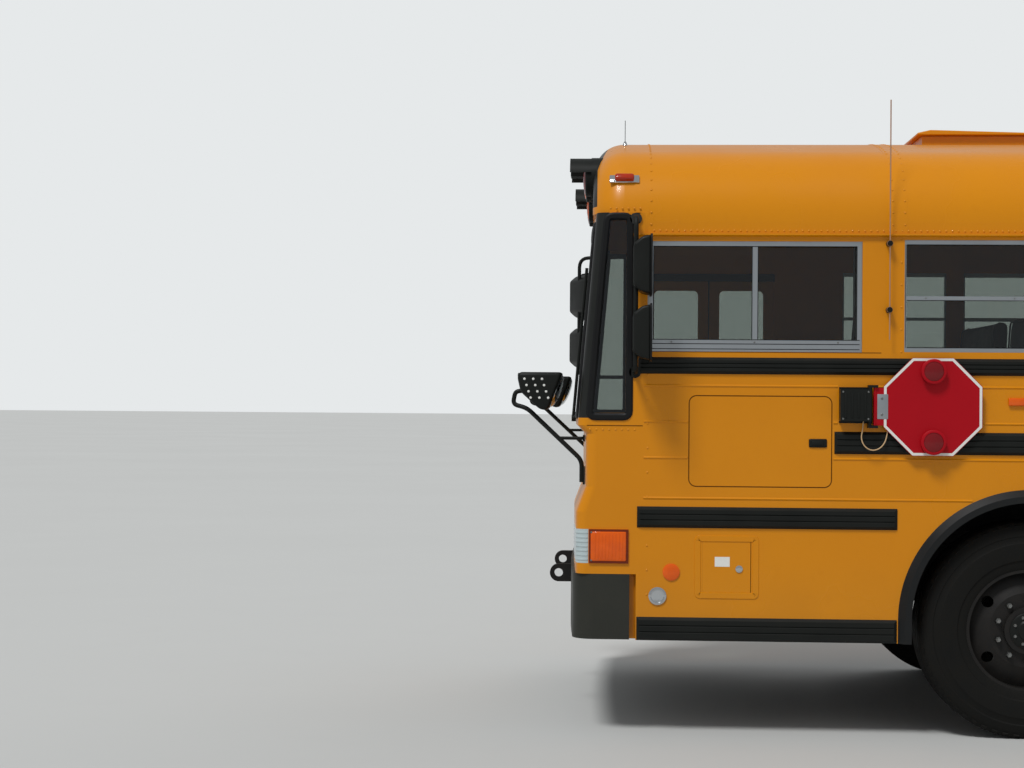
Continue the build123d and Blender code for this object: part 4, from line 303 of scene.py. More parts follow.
class Materials:
    """Makes each finish's material once."""

    def __init__(self) -> None:
        """Starts with none made."""
        self._made: dict[str, bpy.types.Material] = {}

    def get(self, finish: Finish | TwoTone) -> bpy.types.Material:
        """The material of a finish.

        Args:
            finish: what the surface is made of.

        Returns:
            The material, made the first time it is asked for.
        """
        if finish.name not in self._made:
            self._made[finish.name] = self._make(finish)
        return self._made[finish.name]

    def _make(self, finish: Finish | TwoTone) -> bpy.types.Material:
        """Makes a new material from procedural nodes.

        Args:
            finish: what the surface is made of.

        Returns:
            The material.
        """
        material = bpy.data.materials.new(finish.name)
        material.use_nodes = True
        tree = material.node_tree
        if finish is Kit.GLASS:
            self._thin_glass(tree)
            return material
        base = finish.base if isinstance(finish, TwoTone) else finish
        shader = tree.nodes["Principled BSDF"]
        shader.inputs["Metallic"].default_value = base.metallic
        shader.inputs["Coat Weight"].default_value = base.coat
        shader.inputs["Coat Roughness"].default_value = COAT_ROUGHNESS
        shader.inputs["Specular IOR Level"].default_value = 0.5 if base.metallic else base.specular
        place = add_node(tree, "ShaderNodeTexCoord").outputs["Object"]
        colour, roughness = self._surface(tree, place, base)
        if isinstance(finish, TwoTone):
            share = self._painted(tree, place, finish)
            top_colour, top_roughness = self._surface(tree, place, finish.paint)
            colour = mix_colours(tree, share, colour, top_colour)
            roughness = mix_values(tree, share, roughness, top_roughness)
        tree.links.new(colour, shader.inputs["Base Color"])
        tree.links.new(roughness, shader.inputs["Roughness"])
        if base.relief > 0:
            height = noise(tree, place, base.grain, 2.0)
            bump = add_node(
                tree, "ShaderNodeBump", {"Strength": 1.0, "Distance": base.relief, "Height": height}
            )
            tree.links.new(bump.outputs["Normal"], shader.inputs["Normal"])
        if base.glow > 0:
            tree.links.new(colour, shader.inputs["Emission Color"])
            shader.inputs["Emission Strength"].default_value = base.glow
        return material

    def _surface(self, tree: Tree, place: Socket, finish: Finish) -> tuple[Socket, Socket]:
        """Works out the colour and the roughness of one finish.

        Args:
            tree: the material's nodes.
            place: the socket of the place on the object.
            finish: what the surface is made of.

        Returns:
            The sockets of the colour and of the roughness.
        """
        patches = noise(tree, place, finish.patch, 3.0)
        fine = noise(tree, place, finish.patch / 12, 4.0)
        colour = mix_colours(tree, patches, linear(finish.colour), linear(finish.shade))
        colour = mix_colours(tree, faint(tree, fine), colour, linear(finish.shade))
        if finish.dust is not None:
            colour = self._dusty(tree, place, patches, colour, linear(finish.dust))
        return colour, ranged(tree, patches, PATCH_ENDS, finish.roughness)

    @staticmethod
    def _painted(tree: Tree, place: Socket, finish: TwoTone) -> Socket:
        """Works out where the second finish lies, from the planes round it.

        Args:
            tree: the material's nodes.
            place: the socket of the place on the object.
            finish: both finishes and the planes.

        Returns:
            A socket that is 1 where the second finish lies, and 0 elsewhere.
        """
        split = add_node(tree, "ShaderNodeSeparateXYZ", {"Vector": place})
        width = math_node(tree, "ABSOLUTE", split.outputs["Y"])
        axes = (split.outputs["X"], width, split.outputs["Z"])

        def beyond(plane: Plane) -> Socket:
            """Works out one plane.

            Args:
                plane: its three weights and its distance.

            Returns:
                A socket that is 1 on the plane's far side, and 0 elsewhere.
            """
            total = None
            for weight, axis in zip(plane, axes):
                if weight:
                    term = math_node(tree, "MULTIPLY", axis, weight)
                    total = term if total is None else math_node(tree, "ADD", total, term)
            return math_node(tree, "GREATER_THAN", total, plane[3])

        share = None
        for plane in finish.any_of:
            far = beyond(plane)
            share = far if share is None else math_node(tree, "MAXIMUM", share, far)
        for plane in finish.all_of:
            share = math_node(tree, "MULTIPLY", share, beyond(plane))
        return share

    @staticmethod
    def _dusty(tree: Tree, place: Socket, patches: Socket, colour: Socket, dust: Plane) -> Socket:
        """Mixes dirt into a colour near the ground.

        Args:
            tree: the material's nodes.
            place: the socket of the place on the object.
            patches: the noise that makes more of it in some places.
            colour: the socket of the clean colour.
            dust: the dirt's colour.

        Returns:
            The socket of the mixed colour.
        """
        split = add_node(tree, "ShaderNodeSeparateXYZ", {"Vector": place})
        low = ranged(tree, split.outputs["Z"], DUST_HEIGHTS, (0.0, DUST_MOST))
        share = math_node(tree, "MULTIPLY", low, patches)
        return mix_colours(tree, share, colour, dust)

    @staticmethod
    def _thin_glass(tree: Tree) -> None:
        """Lets light pass straight through thin panes, with a reflection on their outer face.

        Args:
            tree: the material's nodes.
        """
        tree.nodes.remove(tree.nodes["Principled BSDF"])
        clear = add_node(tree, "ShaderNodeBsdfTransparent", {"Color": linear("#cfd3d0")})
        gloss = add_node(tree, "ShaderNodeBsdfGlossy", {"Roughness": 0.01, "Color": linear("#dfe6ea")})
        behind = add_node(tree, "ShaderNodeNewGeometry").outputs["Backfacing"]
        facing_out = math_node(tree, "SUBTRACT", 1.0, behind)
        mirror = add_node(tree, "ShaderNodeFresnel", {"IOR": 1.6}).outputs["Fac"]
        share = math_node(tree, "MULTIPLY", mirror, facing_out)
        both = add_node(tree, "ShaderNodeMixShader", {"Fac": share})
        tree.links.new(clear.outputs["BSDF"], both.inputs[1])
        tree.links.new(gloss.outputs["BSDF"], both.inputs[2])
        tree.links.new(both.outputs["Shader"], tree.nodes["Material Output"].inputs["Surface"])


def add_node(tree: bpy.types.NodeTree, kind: str, inputs: dict | None = None) -> bpy.types.Node:
    """Adds a node to a tree.

    Args:
        tree: the material's or world's nodes.
        kind: the node's type.
        inputs: a plain value or an output socket for each input named.

    Returns:
        The new node.
    """
    node = tree.nodes.new(kind)
    for name, value in (inputs or {}).items():
        if isinstance(value, bpy.types.NodeSocket):
            tree.links.new(value, node.inputs[name])
        else:
            node.inputs[name].default_value = value
    return node


def math_node(tree: Tree, operation: str, *values: Socket | float) -> Socket:
    """Works out one sum.

    Args:
        tree: the nodes that it is added to.
        operation: what is done, by the node's own name for it.
        values: sockets or plain numbers.

    Returns:
        The socket of the result.
    """
    node = add_node(tree, "ShaderNodeMath", dict(enumerate(values)))
    node.operation = operation
    return node.outputs[0]


def noise(tree: Tree, place: Socket, size: float, detail: float) -> Socket:
    """Adds a noise.

    Args:
        tree: the nodes that it is added to.
        place: the socket of the place on the object.
        size: about how large its features are in metres.
        detail: how many finer octaves it has.

    Returns:
        The socket of its value.
    """
    inputs = {"Scale": 1 / size, "Detail": detail, "Vector": place}
    return add_node(tree, "ShaderNodeTexNoise", inputs).outputs["Fac"]


def mix_colours(tree: Tree, share: Socket, first: Socket | Plane, second: Socket | Plane) -> Socket:
    """Mixes two colours.

    Args:
        tree: the nodes that it is added to.
        share: the socket of the second colour's share.
        first: a socket or a plain colour.
        second: the same for the other colour.

    Returns:
        The socket of the mixed colour.
    """
    node = add_node(tree, "ShaderNodeMix")
    node.data_type = "RGBA"
    tree.links.new(share, node.inputs["Factor"])
    for value, name in ((first, "A"), (second, "B")):
        socket = [s for s in node.inputs if s.name == name and s.type == "RGBA"][0]
        if isinstance(value, tuple):
            socket.default_value = value
        else:
            tree.links.new(value, socket)
    return [s for s in node.outputs if s.type == "RGBA"][0]


def mix_values(tree: Tree, share: Socket, first: Socket, second: Socket) -> Socket:
    """Mixes two number sockets by a share socket."""
    step = math_node(tree, "SUBTRACT", second, first)
    return math_node(tree, "ADD", first, math_node(tree, "MULTIPLY", step, share))


def ranged(tree: Tree, value: Socket, source: Flat, ends: Flat) -> Socket:
    """Carries a value from one range to another, and holds it inside that.

    Args:
        tree: the nodes that it is added to.
        value: the socket of the value.
        source: the range that it comes from.
        ends: the range that it goes to.

    Returns:
        The socket of the result.
    """
    limits = zip(("From Min", "From Max", "To Min", "To Max"), (*source, *ends))
    return add_node(tree, "ShaderNodeMapRange", {"Value": value, **dict(limits)}).outputs["Result"]


def faint(tree: Tree, value: Socket) -> Socket:
    """Keeps only the high parts of a noise, up to a small share."""
    return ranged(tree, value, FAINT_ENDS, (0.0, FAINT_MOST))


MATERIALS = Materials()


# Mesh work


def facing(origin: Point, out: Point, up: Point = (0.0, 0.0, 1.0)) -> Matrix:
    """Makes a local frame at a point.

    Args:
        origin: the point.
        out: the direction of its Z.
        up: the direction that its Y leans towards.

    Returns:
        The frame as a matrix.
    """
    z = Vector(out).normalized()
    side = Vector(up).cross(z)
    x = side.normalized() if side.length > 1e-6 else Vector((1.0, 0.0, 0.0))
    y = z.cross(x)
    columns = (x, y, z, Vector(origin))
    rows = [[column[i] for column in columns] for i in range(3)]
    return Matrix((*rows, (0, 0, 0, 1)))


def rounded(low: Flat, high: Flat, radius: float, steps: int = 4, pitch: float = 0.12) -> list[Flat]:
    """Points round a rectangle with round corners.

    Args:
        low: the corner that the rectangle starts from.
        high: the opposite corner.
        radius: the radius of the corners.
        steps: how many runs each corner has.
        pitch: the longest run along a side.

    Returns:
        The points, of which the last isn't the first again.
    """
    (a0, b0), (a1, b1) = low, high
    way = 1 if a1 > a0 else -1
    corners = (
        (a1 - way * radius, b1 - radius, 0.0),
        (a0 + way * radius, b1 - radius, pi / 2),
        (a0 + way * radius, b0 + radius, pi),
        (a1 - way * radius, b0 + radius, 3 * pi / 2),
    )
    points = []
    for a, b, start in corners:
        turns = [start + pi / 2 * i / steps for i in range(steps + 1)]
        points += [(a + way * radius * cos(t), b + radius * sin(t)) for t in turns]
    dense = []
    for near, far in zip(points, points[1:] + points[:1]):
        count = max(1, ceil(max(abs(far[0] - near[0]), abs(far[1] - near[1])) / pitch))
        for i in range(count):
            dense.append(tuple(a + (b - a) * i / count for a, b in zip(near, far)))
    return dense


def bent(points: Sequence[Point], bends: Sequence[float], steps: int = 5) -> list[Vector]:
    """Makes a line through points, with its corners rounded.

    Args:
        points: the ends and the corners.
        bends: how far from each corner its bend starts.
        steps: how many runs each bend has.

    Returns:
        The points of the line.
    """
    stations = [Vector(p) for p in points]
    line = [stations[0]]
    for before, at, after, bend in zip(stations, stations[1:], stations[2:], bends):
        reach = min(bend, 0.49 * (at - before).length, 0.49 * (after - at).length)
        start = at + (before - at).normalized() * reach
        end = at + (after - at).normalized() * reach
        for i in range(steps + 1):
            t = i / steps
            line.append(start * (1 - t) ** 2 + at * 2 * t * (1 - t) + end * t**2)
    return line + [stations[-1]]


def round_edges(part: bmesh.types.BMesh, bevel: float, segments: int) -> None:
    """Rounds every edge of a mesh in the making.

    Args:
        part: the mesh.
        bevel: how much its edges are rounded, or 0 for sharp ones.
        segments: how many runs each rounded edge has.
    """
    if bevel > 0:
        bmesh.ops.bevel(
            part, geom=part.edges, offset=bevel, affect="EDGES", segments=segments, profile=0.5, material=-1
        )


def finished(name: str, part: bmesh.types.BMesh) -> bpy.types.Mesh:
    """Turns a mesh in the making into one for an object.

    Args:
        name: its name.
        part: the mesh in the making, which is freed.

    Returns:
        The mesh.
    """
    mesh = bpy.data.meshes.new(name)
    part.to_mesh(mesh)
    part.free()
    return mesh


def add_object(name: str, data: bpy.types.ID | None) -> bpy.types.Object:
    """Adds an object with its data to the scene."""
    obj = bpy.data.objects.new(name, data)
    bpy.context.scene.collection.objects.link(obj)
    return obj


def circle(radius: float, sides: int) -> list[Flat]:
    """The section of a round bar."""
    return [(radius * cos(2 * pi * i / sides), radius * sin(2 * pi * i / sides)) for i in range(sides)]


class Piece:
    """One mesh object in the making; its vertices are placed straight in the frame."""

    def __init__(self, name: str, finish: Finish) -> None:
        """Starts with no vertices.

        Args:
            name: the object's name.
            finish: what it is made of.
        """
        self.name = name
        self.finish = finish
        self.bm = bmesh.new()

    def take(self, part: bmesh.types.BMesh) -> None:
        """Moves a small mesh into the piece.

        Args:
            part: the mesh, which is freed.
        """
        carrier = finished("carrier", part)
        self.bm.from_mesh(carrier)
        bpy.data.meshes.remove(carrier)

    def box(self, low: Point, high: Point, bevel: float = 0.0, segments: int = 2) -> None:
        """Adds a box between two corners.

        Args:
            low: one corner.
            high: the opposite one.
            bevel: how much its edges are rounded.
            segments: how many runs each rounded edge has.
        """
        size = [abs(b - a) for a, b in zip(low, high)]
        middle = [(a + b) / 2 for a, b in zip(low, high)]
        self.block(Matrix.Translation(middle), size, bevel, segments)

    def block(self, place: Matrix, size: Sequence[float], bevel: float = 0.0, segments: int = 2) -> None:
        """Adds a box of a size.

        Args:
            place: the frame in its middle.
            size: how long it is along each axis of that.
            bevel: how much its edges are rounded.
            segments: how many runs each rounded edge has.
        """
        part = bmesh.new()
        bmesh.ops.create_cube(part, size=1.0, matrix=Matrix.Diagonal((*size, 1.0)))
        round_edges(part, bevel, segments)
        bmesh.ops.transform(part, matrix=place, verts=part.verts)
        self.take(part)

    def prism(self, outline: Sequence[Point], run: Point, bevel: float = 0.0, segments: int = 2) -> None:
        """Adds a flat outline carried along a vector.

        Args:
            outline: the points round it.
            run: the vector.
            bevel: how much its edges are rounded.
            segments: how many runs each rounded edge has.
        """
        part = bmesh.new()
        face = part.faces.new([part.verts.new(p) for p in outline])
        made = bmesh.ops.extrude_face_region(part, geom=[face])["geom"]
        carried = [v for v in made if isinstance(v, bmesh.types.BMVert)]
        bmesh.ops.translate(part, verts=carried, vec=run)
        bmesh.ops.recalc_face_normals(part, faces=part.faces)
        round_edges(part, bevel, segments)
        self.take(part)

    def rod(
        self, start: Point, end: Point, radius: float, segments: int = 16, tip: float | None = None
    ) -> None:
        """Adds a round bar or a cone.

        Args:
            start: the middle of its first end.
            end: the middle of its other end.
            radius: its radius.
            segments: how many sides it has.
            tip: the radius of its other end, if that is another one.
        """
        run = Vector(end) - Vector(start)
        bmesh.ops.create_cone(
            self.bm,
            cap_ends=True,
            segments=segments,
            radius1=radius,
            radius2=radius if tip is None else tip,
            depth=run.length,
            matrix=facing(start, run) @ Matrix.Translation((0, 0, run.length / 2)),
        )

    def lathe(
        self, profile: Iterable[Flat], place: Matrix, steps: int = 32, cut: float | None = None
    ) -> None:
        """Adds a (radius, height) profile turned about the local Z of `place`.

        Args:
            profile: the points, closed where the last repeats the first.
            place: where the turned shape goes.
            steps: how many sides it has.
            cut: what lies below this local Y is taken off and closed, if given.
        """
        part = bmesh.new()
        verts = [part.verts.new((r, 0.0, h)) for r, h in profile]
        edges = [part.edges.new(pair) for pair in zip(verts, verts[1:])]
        bmesh.ops.spin(
            part,
            geom=verts + edges,
            axis=(0, 0, 1),
            cent=(0, 0, 0),
            dvec=(0, 0, 0),
            angle=2 * pi,
            steps=steps,
            use_merge=True,
        )
        bmesh.ops.remove_doubles(part, verts=part.verts, dist=1e-6)
        if cut is not None:
            geom = [*part.verts, *part.edges, *part.faces]
            halved = bmesh.ops.bisect_plane(
                part, geom=geom, plane_co=(0, cut, 0), plane_no=(0, -1, 0), clear_outer=True
            )
            rim = [e for e in halved["geom_cut"] if isinstance(e, bmesh.types.BMEdge)]
            bmesh.ops.holes_fill(part, edges=rim)
        bmesh.ops.transform(part, matrix=place, verts=part.verts)
        self.take(part)

    def sweep(
        self, section: Sequence[Flat], path: Sequence[Point], out: Point, closed: bool = False
    ) -> None:
        """Carries a closed section along a path, turning it as the path turns.

        Args:
            section: (across, out) points round the section.
            path: points of the line that it follows.
            out: the direction of the section's `out` at the first point.
            closed: True where the path's end joins its start.
        """
        part = bmesh.new()
        points = [Vector(p) for p in path]
        last = len(points) - 1
        runs = []
        for i in range(last + 1):
            before = points[i - 1] if closed or i else points[0]
            after = points[(i + 1) % (last + 1)] if closed or i < last else points[last]
            runs.append((after - before).normalized())
        across = runs[0].cross(Vector(out)).normalized()
        level = across.cross(runs[0])
        verts = [part.verts.new(points[0] + across * a + level * b) for a, b in section]
        start = ring = [part.edges.new(pair) for pair in zip(verts, verts[1:] + verts[:1])]
        for i in range(1, last + 1):
            made = bmesh.ops.extrude_edge_only(part, edges=ring)["geom"]
            verts = {v for v in made if isinstance(v, bmesh.types.BMVert)}
            ring = [e for e in made if isinstance(e, bmesh.types.BMEdge) and set(e.verts) <= verts]
            turn = runs[i - 1].rotation_difference(runs[i]).to_matrix().to_4x4()
            move = Matrix.Translation(points[i]) @ turn @ Matrix.Translation(-points[i - 1])
            bmesh.ops.transform(part, matrix=move, verts=list(verts))
        if closed:
            bmesh.ops.bridge_loops(part, edges=start + ring)
        else:
            bmesh.ops.edgeloop_fill(part, edges=start)
            bmesh.ops.edgeloop_fill(part, edges=ring)
        self.take(part)

    def pipe(
        self, points: Sequence[Point], bends: Sequence[float], radius: float, sides: int = 12
    ) -> None:
        """Adds a bent round tube.

        Args:
            points: its ends and corners.
            bends: how far from each corner its bend starts.
            radius: its radius.
            sides: how many sides it has.
        """
        line = bent(points, bends)
        run = line[1] - line[0]
        out = (0.0, 0.0, 1.0) if abs(run.normalized().z) < 0.9 else (1.0, 0.0, 0.0)
        self.sweep(circle(radius, sides), line, out)

    def done(self, body: str = "coach", smooth: float = 35.0) -> bpy.types.Object:
        """Finishes the piece.

        Args:
            body: the CAD body that it rides on.
            smooth: faces that meet at less than this angle, in degrees, are shaded smooth.

        Returns:
            The object, with its material.
        """
        bmesh.ops.recalc_face_normals(self.bm, faces=self.bm.faces)
        for face in self.bm.faces:
            face.smooth = True
        for edge in self.bm.edges:
            if len(edge.link_faces) == 2 and edge.calc_face_angle() > radians(smooth):
                edge.smooth = False
        return place_mesh(self.name, finished(self.name, self.bm), self.finish, body)


def place_mesh(name: str, mesh: bpy.types.Mesh, finish: Finish, body: str) -> bpy.types.Object:
    """Makes an object of a mesh.

    Args:
        name: the object's name.
        mesh: the mesh, in the frame's own place.
        finish: what it is made of.
        body: the CAD body that it rides on.

    Returns:
        The object, with its material.
    """
    mesh.materials.append(MATERIALS.get(finish))
    obj = add_object(name, mesh)
    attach(obj, body)
    return obj


def dome(radius: float, height: float, rings: int = 2) -> list[Flat]:
    """The (radius, height) profile of a low dome that stands on its rim."""
    turns = [pi / 2 * i / rings for i in range(rings + 1)]
    return [(radius * cos(t), height * sin(t)) for t in turns]


def screws(piece: Piece, places: Iterable[Point], out: Point, radius: float = 0.005) -> None:
    """Adds round screw heads.

    Args:
        piece: what they are added to.
        places: where each of them stands.
        out: the direction in which they stand.
        radius: their radius.
    """
    for place in places:
        piece.lathe(dome(radius, radius * 0.5), facing(place, out), 10)


# Shape of the shell


class RoofSection:
    """The outer line of the body's cross-section above the cant rail."""

    def __init__(self) -> None:
        """Works out the crown's arc, which meets both eaves without a break."""
        self.reach = HALF_WIDTH - EAVES_R
        rise = CROWN_Z - EAVES_Z
        self.crown_r = (self.reach**2 + rise**2 - EAVES_R**2) / (2 * (rise - EAVES_R))
        self.centre_z = CROWN_Z - self.crown_r
        self.lean = atan2(self.reach, EAVES_Z - self.centre_z)
        self.wall = EAVES_Z - CANT_Z
        self.bend = EAVES_R * (pi / 2 - self.lean)
        self.half = self.wall + self.bend + self.crown_r * self.lean

    def at(self, side: int, run: float) -> tuple[Flat, Flat]:
        """The (y, z) point and outward direction at a distance up from the cant rail.

        Args:
            side: 1 on the left and -1 on the right.
            run: distance along the line; half of the whole line ends at the crown.

        Returns:
            The point and the direction.
        """
        if run < self.wall:
            return (side * HALF_WIDTH, CANT_Z + run), (side, 0.0)
        if run < self.wall + self.bend:
            turn = (run - self.wall) / EAVES_R
            out = (side * cos(turn), sin(turn))
            return (side * self.reach + EAVES_R * out[0], EAVES_Z + EAVES_R * out[1]), out
        turn = (self.half - run) / self.crown_r
        out = (side * sin(turn), cos(turn))
        return (self.crown_r * out[0], self.centre_z + self.crown_r * out[1]), out

    def whole(self, step: float, low: float = 0.0) -> list[tuple[Flat, Flat]]:
        """Points over the whole roof, from the left to the right.

        Args:
            step: the longest run between two of them.
            low: how far above the cant rails they end.

        Returns:
            Each point and its outward direction.
        """
        span = 2 * (self.half - low)
        count = ceil(span / step)
        runs = [low + span * i / count for i in range(count + 1)]
        return [self.at(1, r) if r <= self.half else self.at(-1, 2 * self.half - r) for r in runs]


def front_x(y: float, z: float) -> float:
    """Finds the face of the windshield frame.

    Args:
        y: how far to the left.
        z: how high.

    Returns:
        The frame's X there.
    """
    share = (z - FRAME_LOW_Z) / (CAP_LOW_Z - FRAME_LOW_Z)
    corner = CORNER_X + share * (FRAME_TOP_X - CORNER_X)
    flat = HALF_WIDTH - NOSE_CORNER_R
    return st(corner + NOSE_BOW * (1 - (y / flat) ** 2))


def nose_path(rear: float, corner: float, inner_y: float, z: float, side: int) -> list[Point]:
    """Makes a line at one height from a side, round the corner, to a point on the front.

    Args:
        rear: the station where it starts on the side.
        corner: the station of the corner.
        inner_y: how far from the middle it ends on the front.
        z: its height.
        side: 1 on the left and -1 on the right.

    Returns:
        The points of the line.
    """
    radius = NOSE_CORNER_R
    flat = HALF_WIDTH - radius
    path = [(st(rear), side * HALF_WIDTH, z)]
    for i in range(9):
        turn = pi / 2 * i / 8
        path.append((st(corner - radius + radius * sin(turn)), side * (flat + radius * cos(turn)), z))
    count = max(1, ceil((flat - inner_y) / 0.12))
    for i in range(1, count + 1):
        y = flat + (inner_y - flat) * i / count
        path.append((st(corner + NOSE_BOW * (1 - (y / flat) ** 2)), side * y, z))
    return path


def window_bays() -> list[Flat]:
    """The (rear, front) X of each passenger window bay, front to rear."""
    fronts = [st(WINDOW_FRONT - WINDOW_PITCH * bay) for bay in range(WINDOW_COUNT)]
    return [(front - WINDOW_LENGTH, front) for front in fronts]


# Camera and cord


@dataclass(frozen=True)
class Camera:
    """The camera at the photograph's viewpoint, sizes in metres and the sensor's in millimetres."""

    place: Point = (5.336, 10.194, 1.600)
    lens_pixels: float = 1900.0
    sensor: float = 36.0
    frame_pixels: int = 1024
    turn: float = radians(3.0)
    pitch: float = atan(11.0 / 1900.0)
    roll: float = radians(0.41)
    far: float = 400.0

    def build(self) -> None:
        """Adds the camera and makes it the scene's."""
        data = bpy.data.cameras.new("photo_camera")
        data.sensor_width = self.sensor
        data.lens = self.lens_pixels / self.frame_pixels * self.sensor
        data.clip_end = self.far
        camera = add_object("photo_camera", data)
        camera.matrix_world = self._matrix()
        bpy.context.scene.camera = camera

    def _matrix(self) -> Matrix:
        """Works out the camera's place, with its turn, pitch and roll.

        Returns:
            The matrix, whose Z looks backwards.
        """
        level = cos(self.pitch)
        look = Vector((sin(self.turn) * level, -cos(self.turn) * level, sin(self.pitch)))
        right = look.cross(Vector((0, 0, 1))).normalized()
        up = right.cross(look)
        tilted_right = right * cos(self.roll) + up * sin(self.roll)
        tilted_up = up * cos(self.roll) - right * sin(self.roll)
        columns = (tilted_right, tilted_up, -look, Vector(self.place))
        rows = [[column[i] for column in columns] for i in range(3)]
        return Matrix((*rows, (0, 0, 0, 1)))


@dataclass(frozen=True)
class SignalCable:
    """The thin cable that hangs in a loop from the stop arm's housing to the wall, in metres."""

    diameter: float = 0.006
    length: float = 0.317
    stations: tuple[Point, ...] = (
        (0.785, 1.249, 1.489),
        (0.787, 1.249, 1.452),
        (0.796, 1.250, 1.412),
        (0.783, 1.251, 1.374),
        (0.750, 1.252, 1.352),
        (0.713, 1.252, 1.358),
        (0.686, 1.250, 1.386),
        (0.674, 1.244, 1.424),
        (0.670, 1.236, 1.456),
        (0.670, 1.219, 1.456),
    )

    def build(self) -> None:
        data = bpy.data.curves.new("signal_cable_line", "CURVE")
        data.dimensions = "3D"
        data.bevel_depth = self.diameter / 2
        data.bevel_resolution = 3
        data.resolution_u = 12
        data.use_fill_caps = True
        spline = data.splines.new("NURBS")
        spline.points.add(len(self.stations) - 1)
        for point, (x, y, z) in zip(spline.points, self.stations):
            point.co = (st(x), y, z, 1.0)
        spline.order_u = 3
        spline.use_endpoint_u = True
        cable = add_object("signal_cable_line", data)
        data.materials.append(MATERIALS.get(Kit.JACKET))
        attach(cable, "coach")
        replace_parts(cable, "signal_cable")


# Studio


@dataclass(frozen=True)
class Studio:
    """A pale floor, a pale surround and soft light.

    Attributes:
        half: half of the floor's side in metres.
        key: where the main light comes from, its strength and its softness in degrees.
        far_side: the same of the light from the far side.
        light: strength of the surround as a light.
    """

    half: float = 150.0
    key: tuple[Point, float, float] = ((0.35, 0.55, 1.0), 2.1, 14.0)
    far_side: tuple[Point, float, float] = ((-0.55, -0.8, 0.45), 0.55, 40.0)
    light: float = 0.46

    def build(self) -> None:
        """Adds the floor, the lamps and the world."""
        self._floor()
        self._world()
        self._sun("key_light", *self.key)
        self._sun("far_side_light", *self.far_side).visible_glossy = False
        bpy.context.scene.view_settings.view_transform = "Standard"

    def _floor(self) -> None:
        """Adds the floor, which is part of the studio and not of the bus."""
        finish = Finish("pale_floor", "#c3c4c2", "#bdbebc", (0.7, 0.9), 4.0, 0.02, 0.0)
        piece = Piece("studio_floor", finish)
        piece.box((-self.half, -self.half, -0.02), (self.half, self.half, 0.0))
        mesh = finished("studio_floor", piece.bm)
        mesh.materials.append(MATERIALS.get(finish))
        floor = add_object("studio_floor", mesh)

    @staticmethod
    def _sun(name: str, source: Point, strength: float, softness: float) -> bpy.types.Object:
        """Adds a wide, distant light.

        Args:
            name: its name.
            source: the direction that it comes from.
            strength: its strength.
            softness: how wide it looks from the bus, in degrees.

        Returns:
            The lamp.
        """
        data = bpy.data.lights.new(name, "SUN")
        data.energy = strength
        data.angle = radians(softness)
        lamp = add_object(name, data)
        lamp.rotation_euler = Vector(source).to_track_quat("Z", "Y").to_euler()
        return lamp

    def _world(self) -> None:
        """Adds the surround, which looks pale to the eye and gives a weaker light."""
        world = bpy.data.worlds.new("studio_world")
        world.use_nodes = True
        bpy.context.scene.world = world
        tree = world.node_tree
        light = tree.nodes["Background"]
        light.inputs["Color"].default_value = linear("#eef1f4")
        light.inputs["Strength"].default_value = self.light
        seen = add_node(tree, "ShaderNodeBackground", {"Color": linear("#e6e9ea"), "Strength": 1.0})
        path = add_node(tree, "ShaderNodeLightPath")
        direct = [path.outputs[f"Is {ray} Ray"] for ray in ("Camera", "Transmission")]
        either = math_node(tree, "MAXIMUM", *direct)
        both = add_node(tree, "ShaderNodeMixShader", {"Fac": either})
        tree.links.new(light.outputs["Background"], both.inputs[1])
        tree.links.new(seen.outputs["Background"], both.inputs[2])
        tree.links.new(both.outputs["Shader"], tree.nodes["World Output"].inputs["Surface"])


# Finishes of the frame's own nodes


class FrameFinishes:
    """Gives every CAD node its material, by its slot or else by its own name."""

    OWN_NAME = (
        *(Kit.ENAMEL, Kit.BLACK, Kit.RED, Kit.CHASSIS, Kit.FLOOR, Kit.ARCH, Kit.ALUMINIUM),
        *(Kit.GLASS, Kit.EXHAUST, Kit.TYRE, Kit.WHEEL, Kit.VINYL, Kit.DASH, Kit.JACKET),
    )
    BY_SLOT = {finish.name: finish for finish in OWN_NAME}
    BY_SLOT.update({"hatch_plastic": Kit.ENAMEL, "lamp_lens": Kit.AMBER})
    BY_NODE = {
        "front_cap": Kit.FRONT_CAP,
        "rear_cap": Kit.REAR_CAP,
        "windshield_frame": Kit.POSTS,
        "body_lamps": Kit.LAMPS,
        "antennas": Kit.ANTENNA,
        "front_bumper": Kit.BUMPER,
        "rear_bumper": Kit.BUMPER,
    }

    def build(self) -> None:
        """Assigns a material to each node's slots."""
        for row in frame["record"]["subparts"]:
            node = frame["nodes"][row["node"]]
            finish = self.BY_NODE.get(row["node"], self.BY_SLOT[row["material_slot"]])
            material = MATERIALS.get(finish)
            if not node.material_slots:
                node.data.materials.append(material)
            for material_slot in node.material_slots:
                material_slot.material = material


# Skin details


@dataclass
class Rivets:
    """Rows of round rivet heads on the skin, sizes in metres."""

    name: str
    radius: float = 0.0055
    height: float = 0.0022
    sides: int = 8
    places: list[tuple[Point, Point]] = field(default_factory=list)

    def line(self, start: Point, end: Point, out: Point, pitch: float) -> None:
        """Adds a straight row.

        Args:
            start: the first head.
            end: the last head.
            out: the direction in which the heads stand.
            pitch: about how far they are apart.
        """
        run = Vector(end) - Vector(start)
        count = max(1, round(run.length / pitch))
        self.places += [(tuple(Vector(start) + run * i / count), out) for i in range(count + 1)]

    def build(self, body: str = "coach") -> None:
        """Makes one mesh of all the heads.

        Args:
            body: the CAD body that they ride on.
        """
        piece = Piece(self.name, Kit.ENAMEL)
        head = Piece("rivet_head", Kit.ENAMEL)
        head.rod((0, 0, 0), (0, 0, self.height), self.radius, self.sides, self.radius * 0.6)
        mesh = finished("rivet_head", head.bm)
        for place, out in self.places:
            copy = mesh.copy()
            copy.transform(facing(place, out))
            piece.bm.from_mesh(copy)
            bpy.data.meshes.remove(copy)
        bpy.data.meshes.remove(mesh)
        piece.done(body, 80.0)


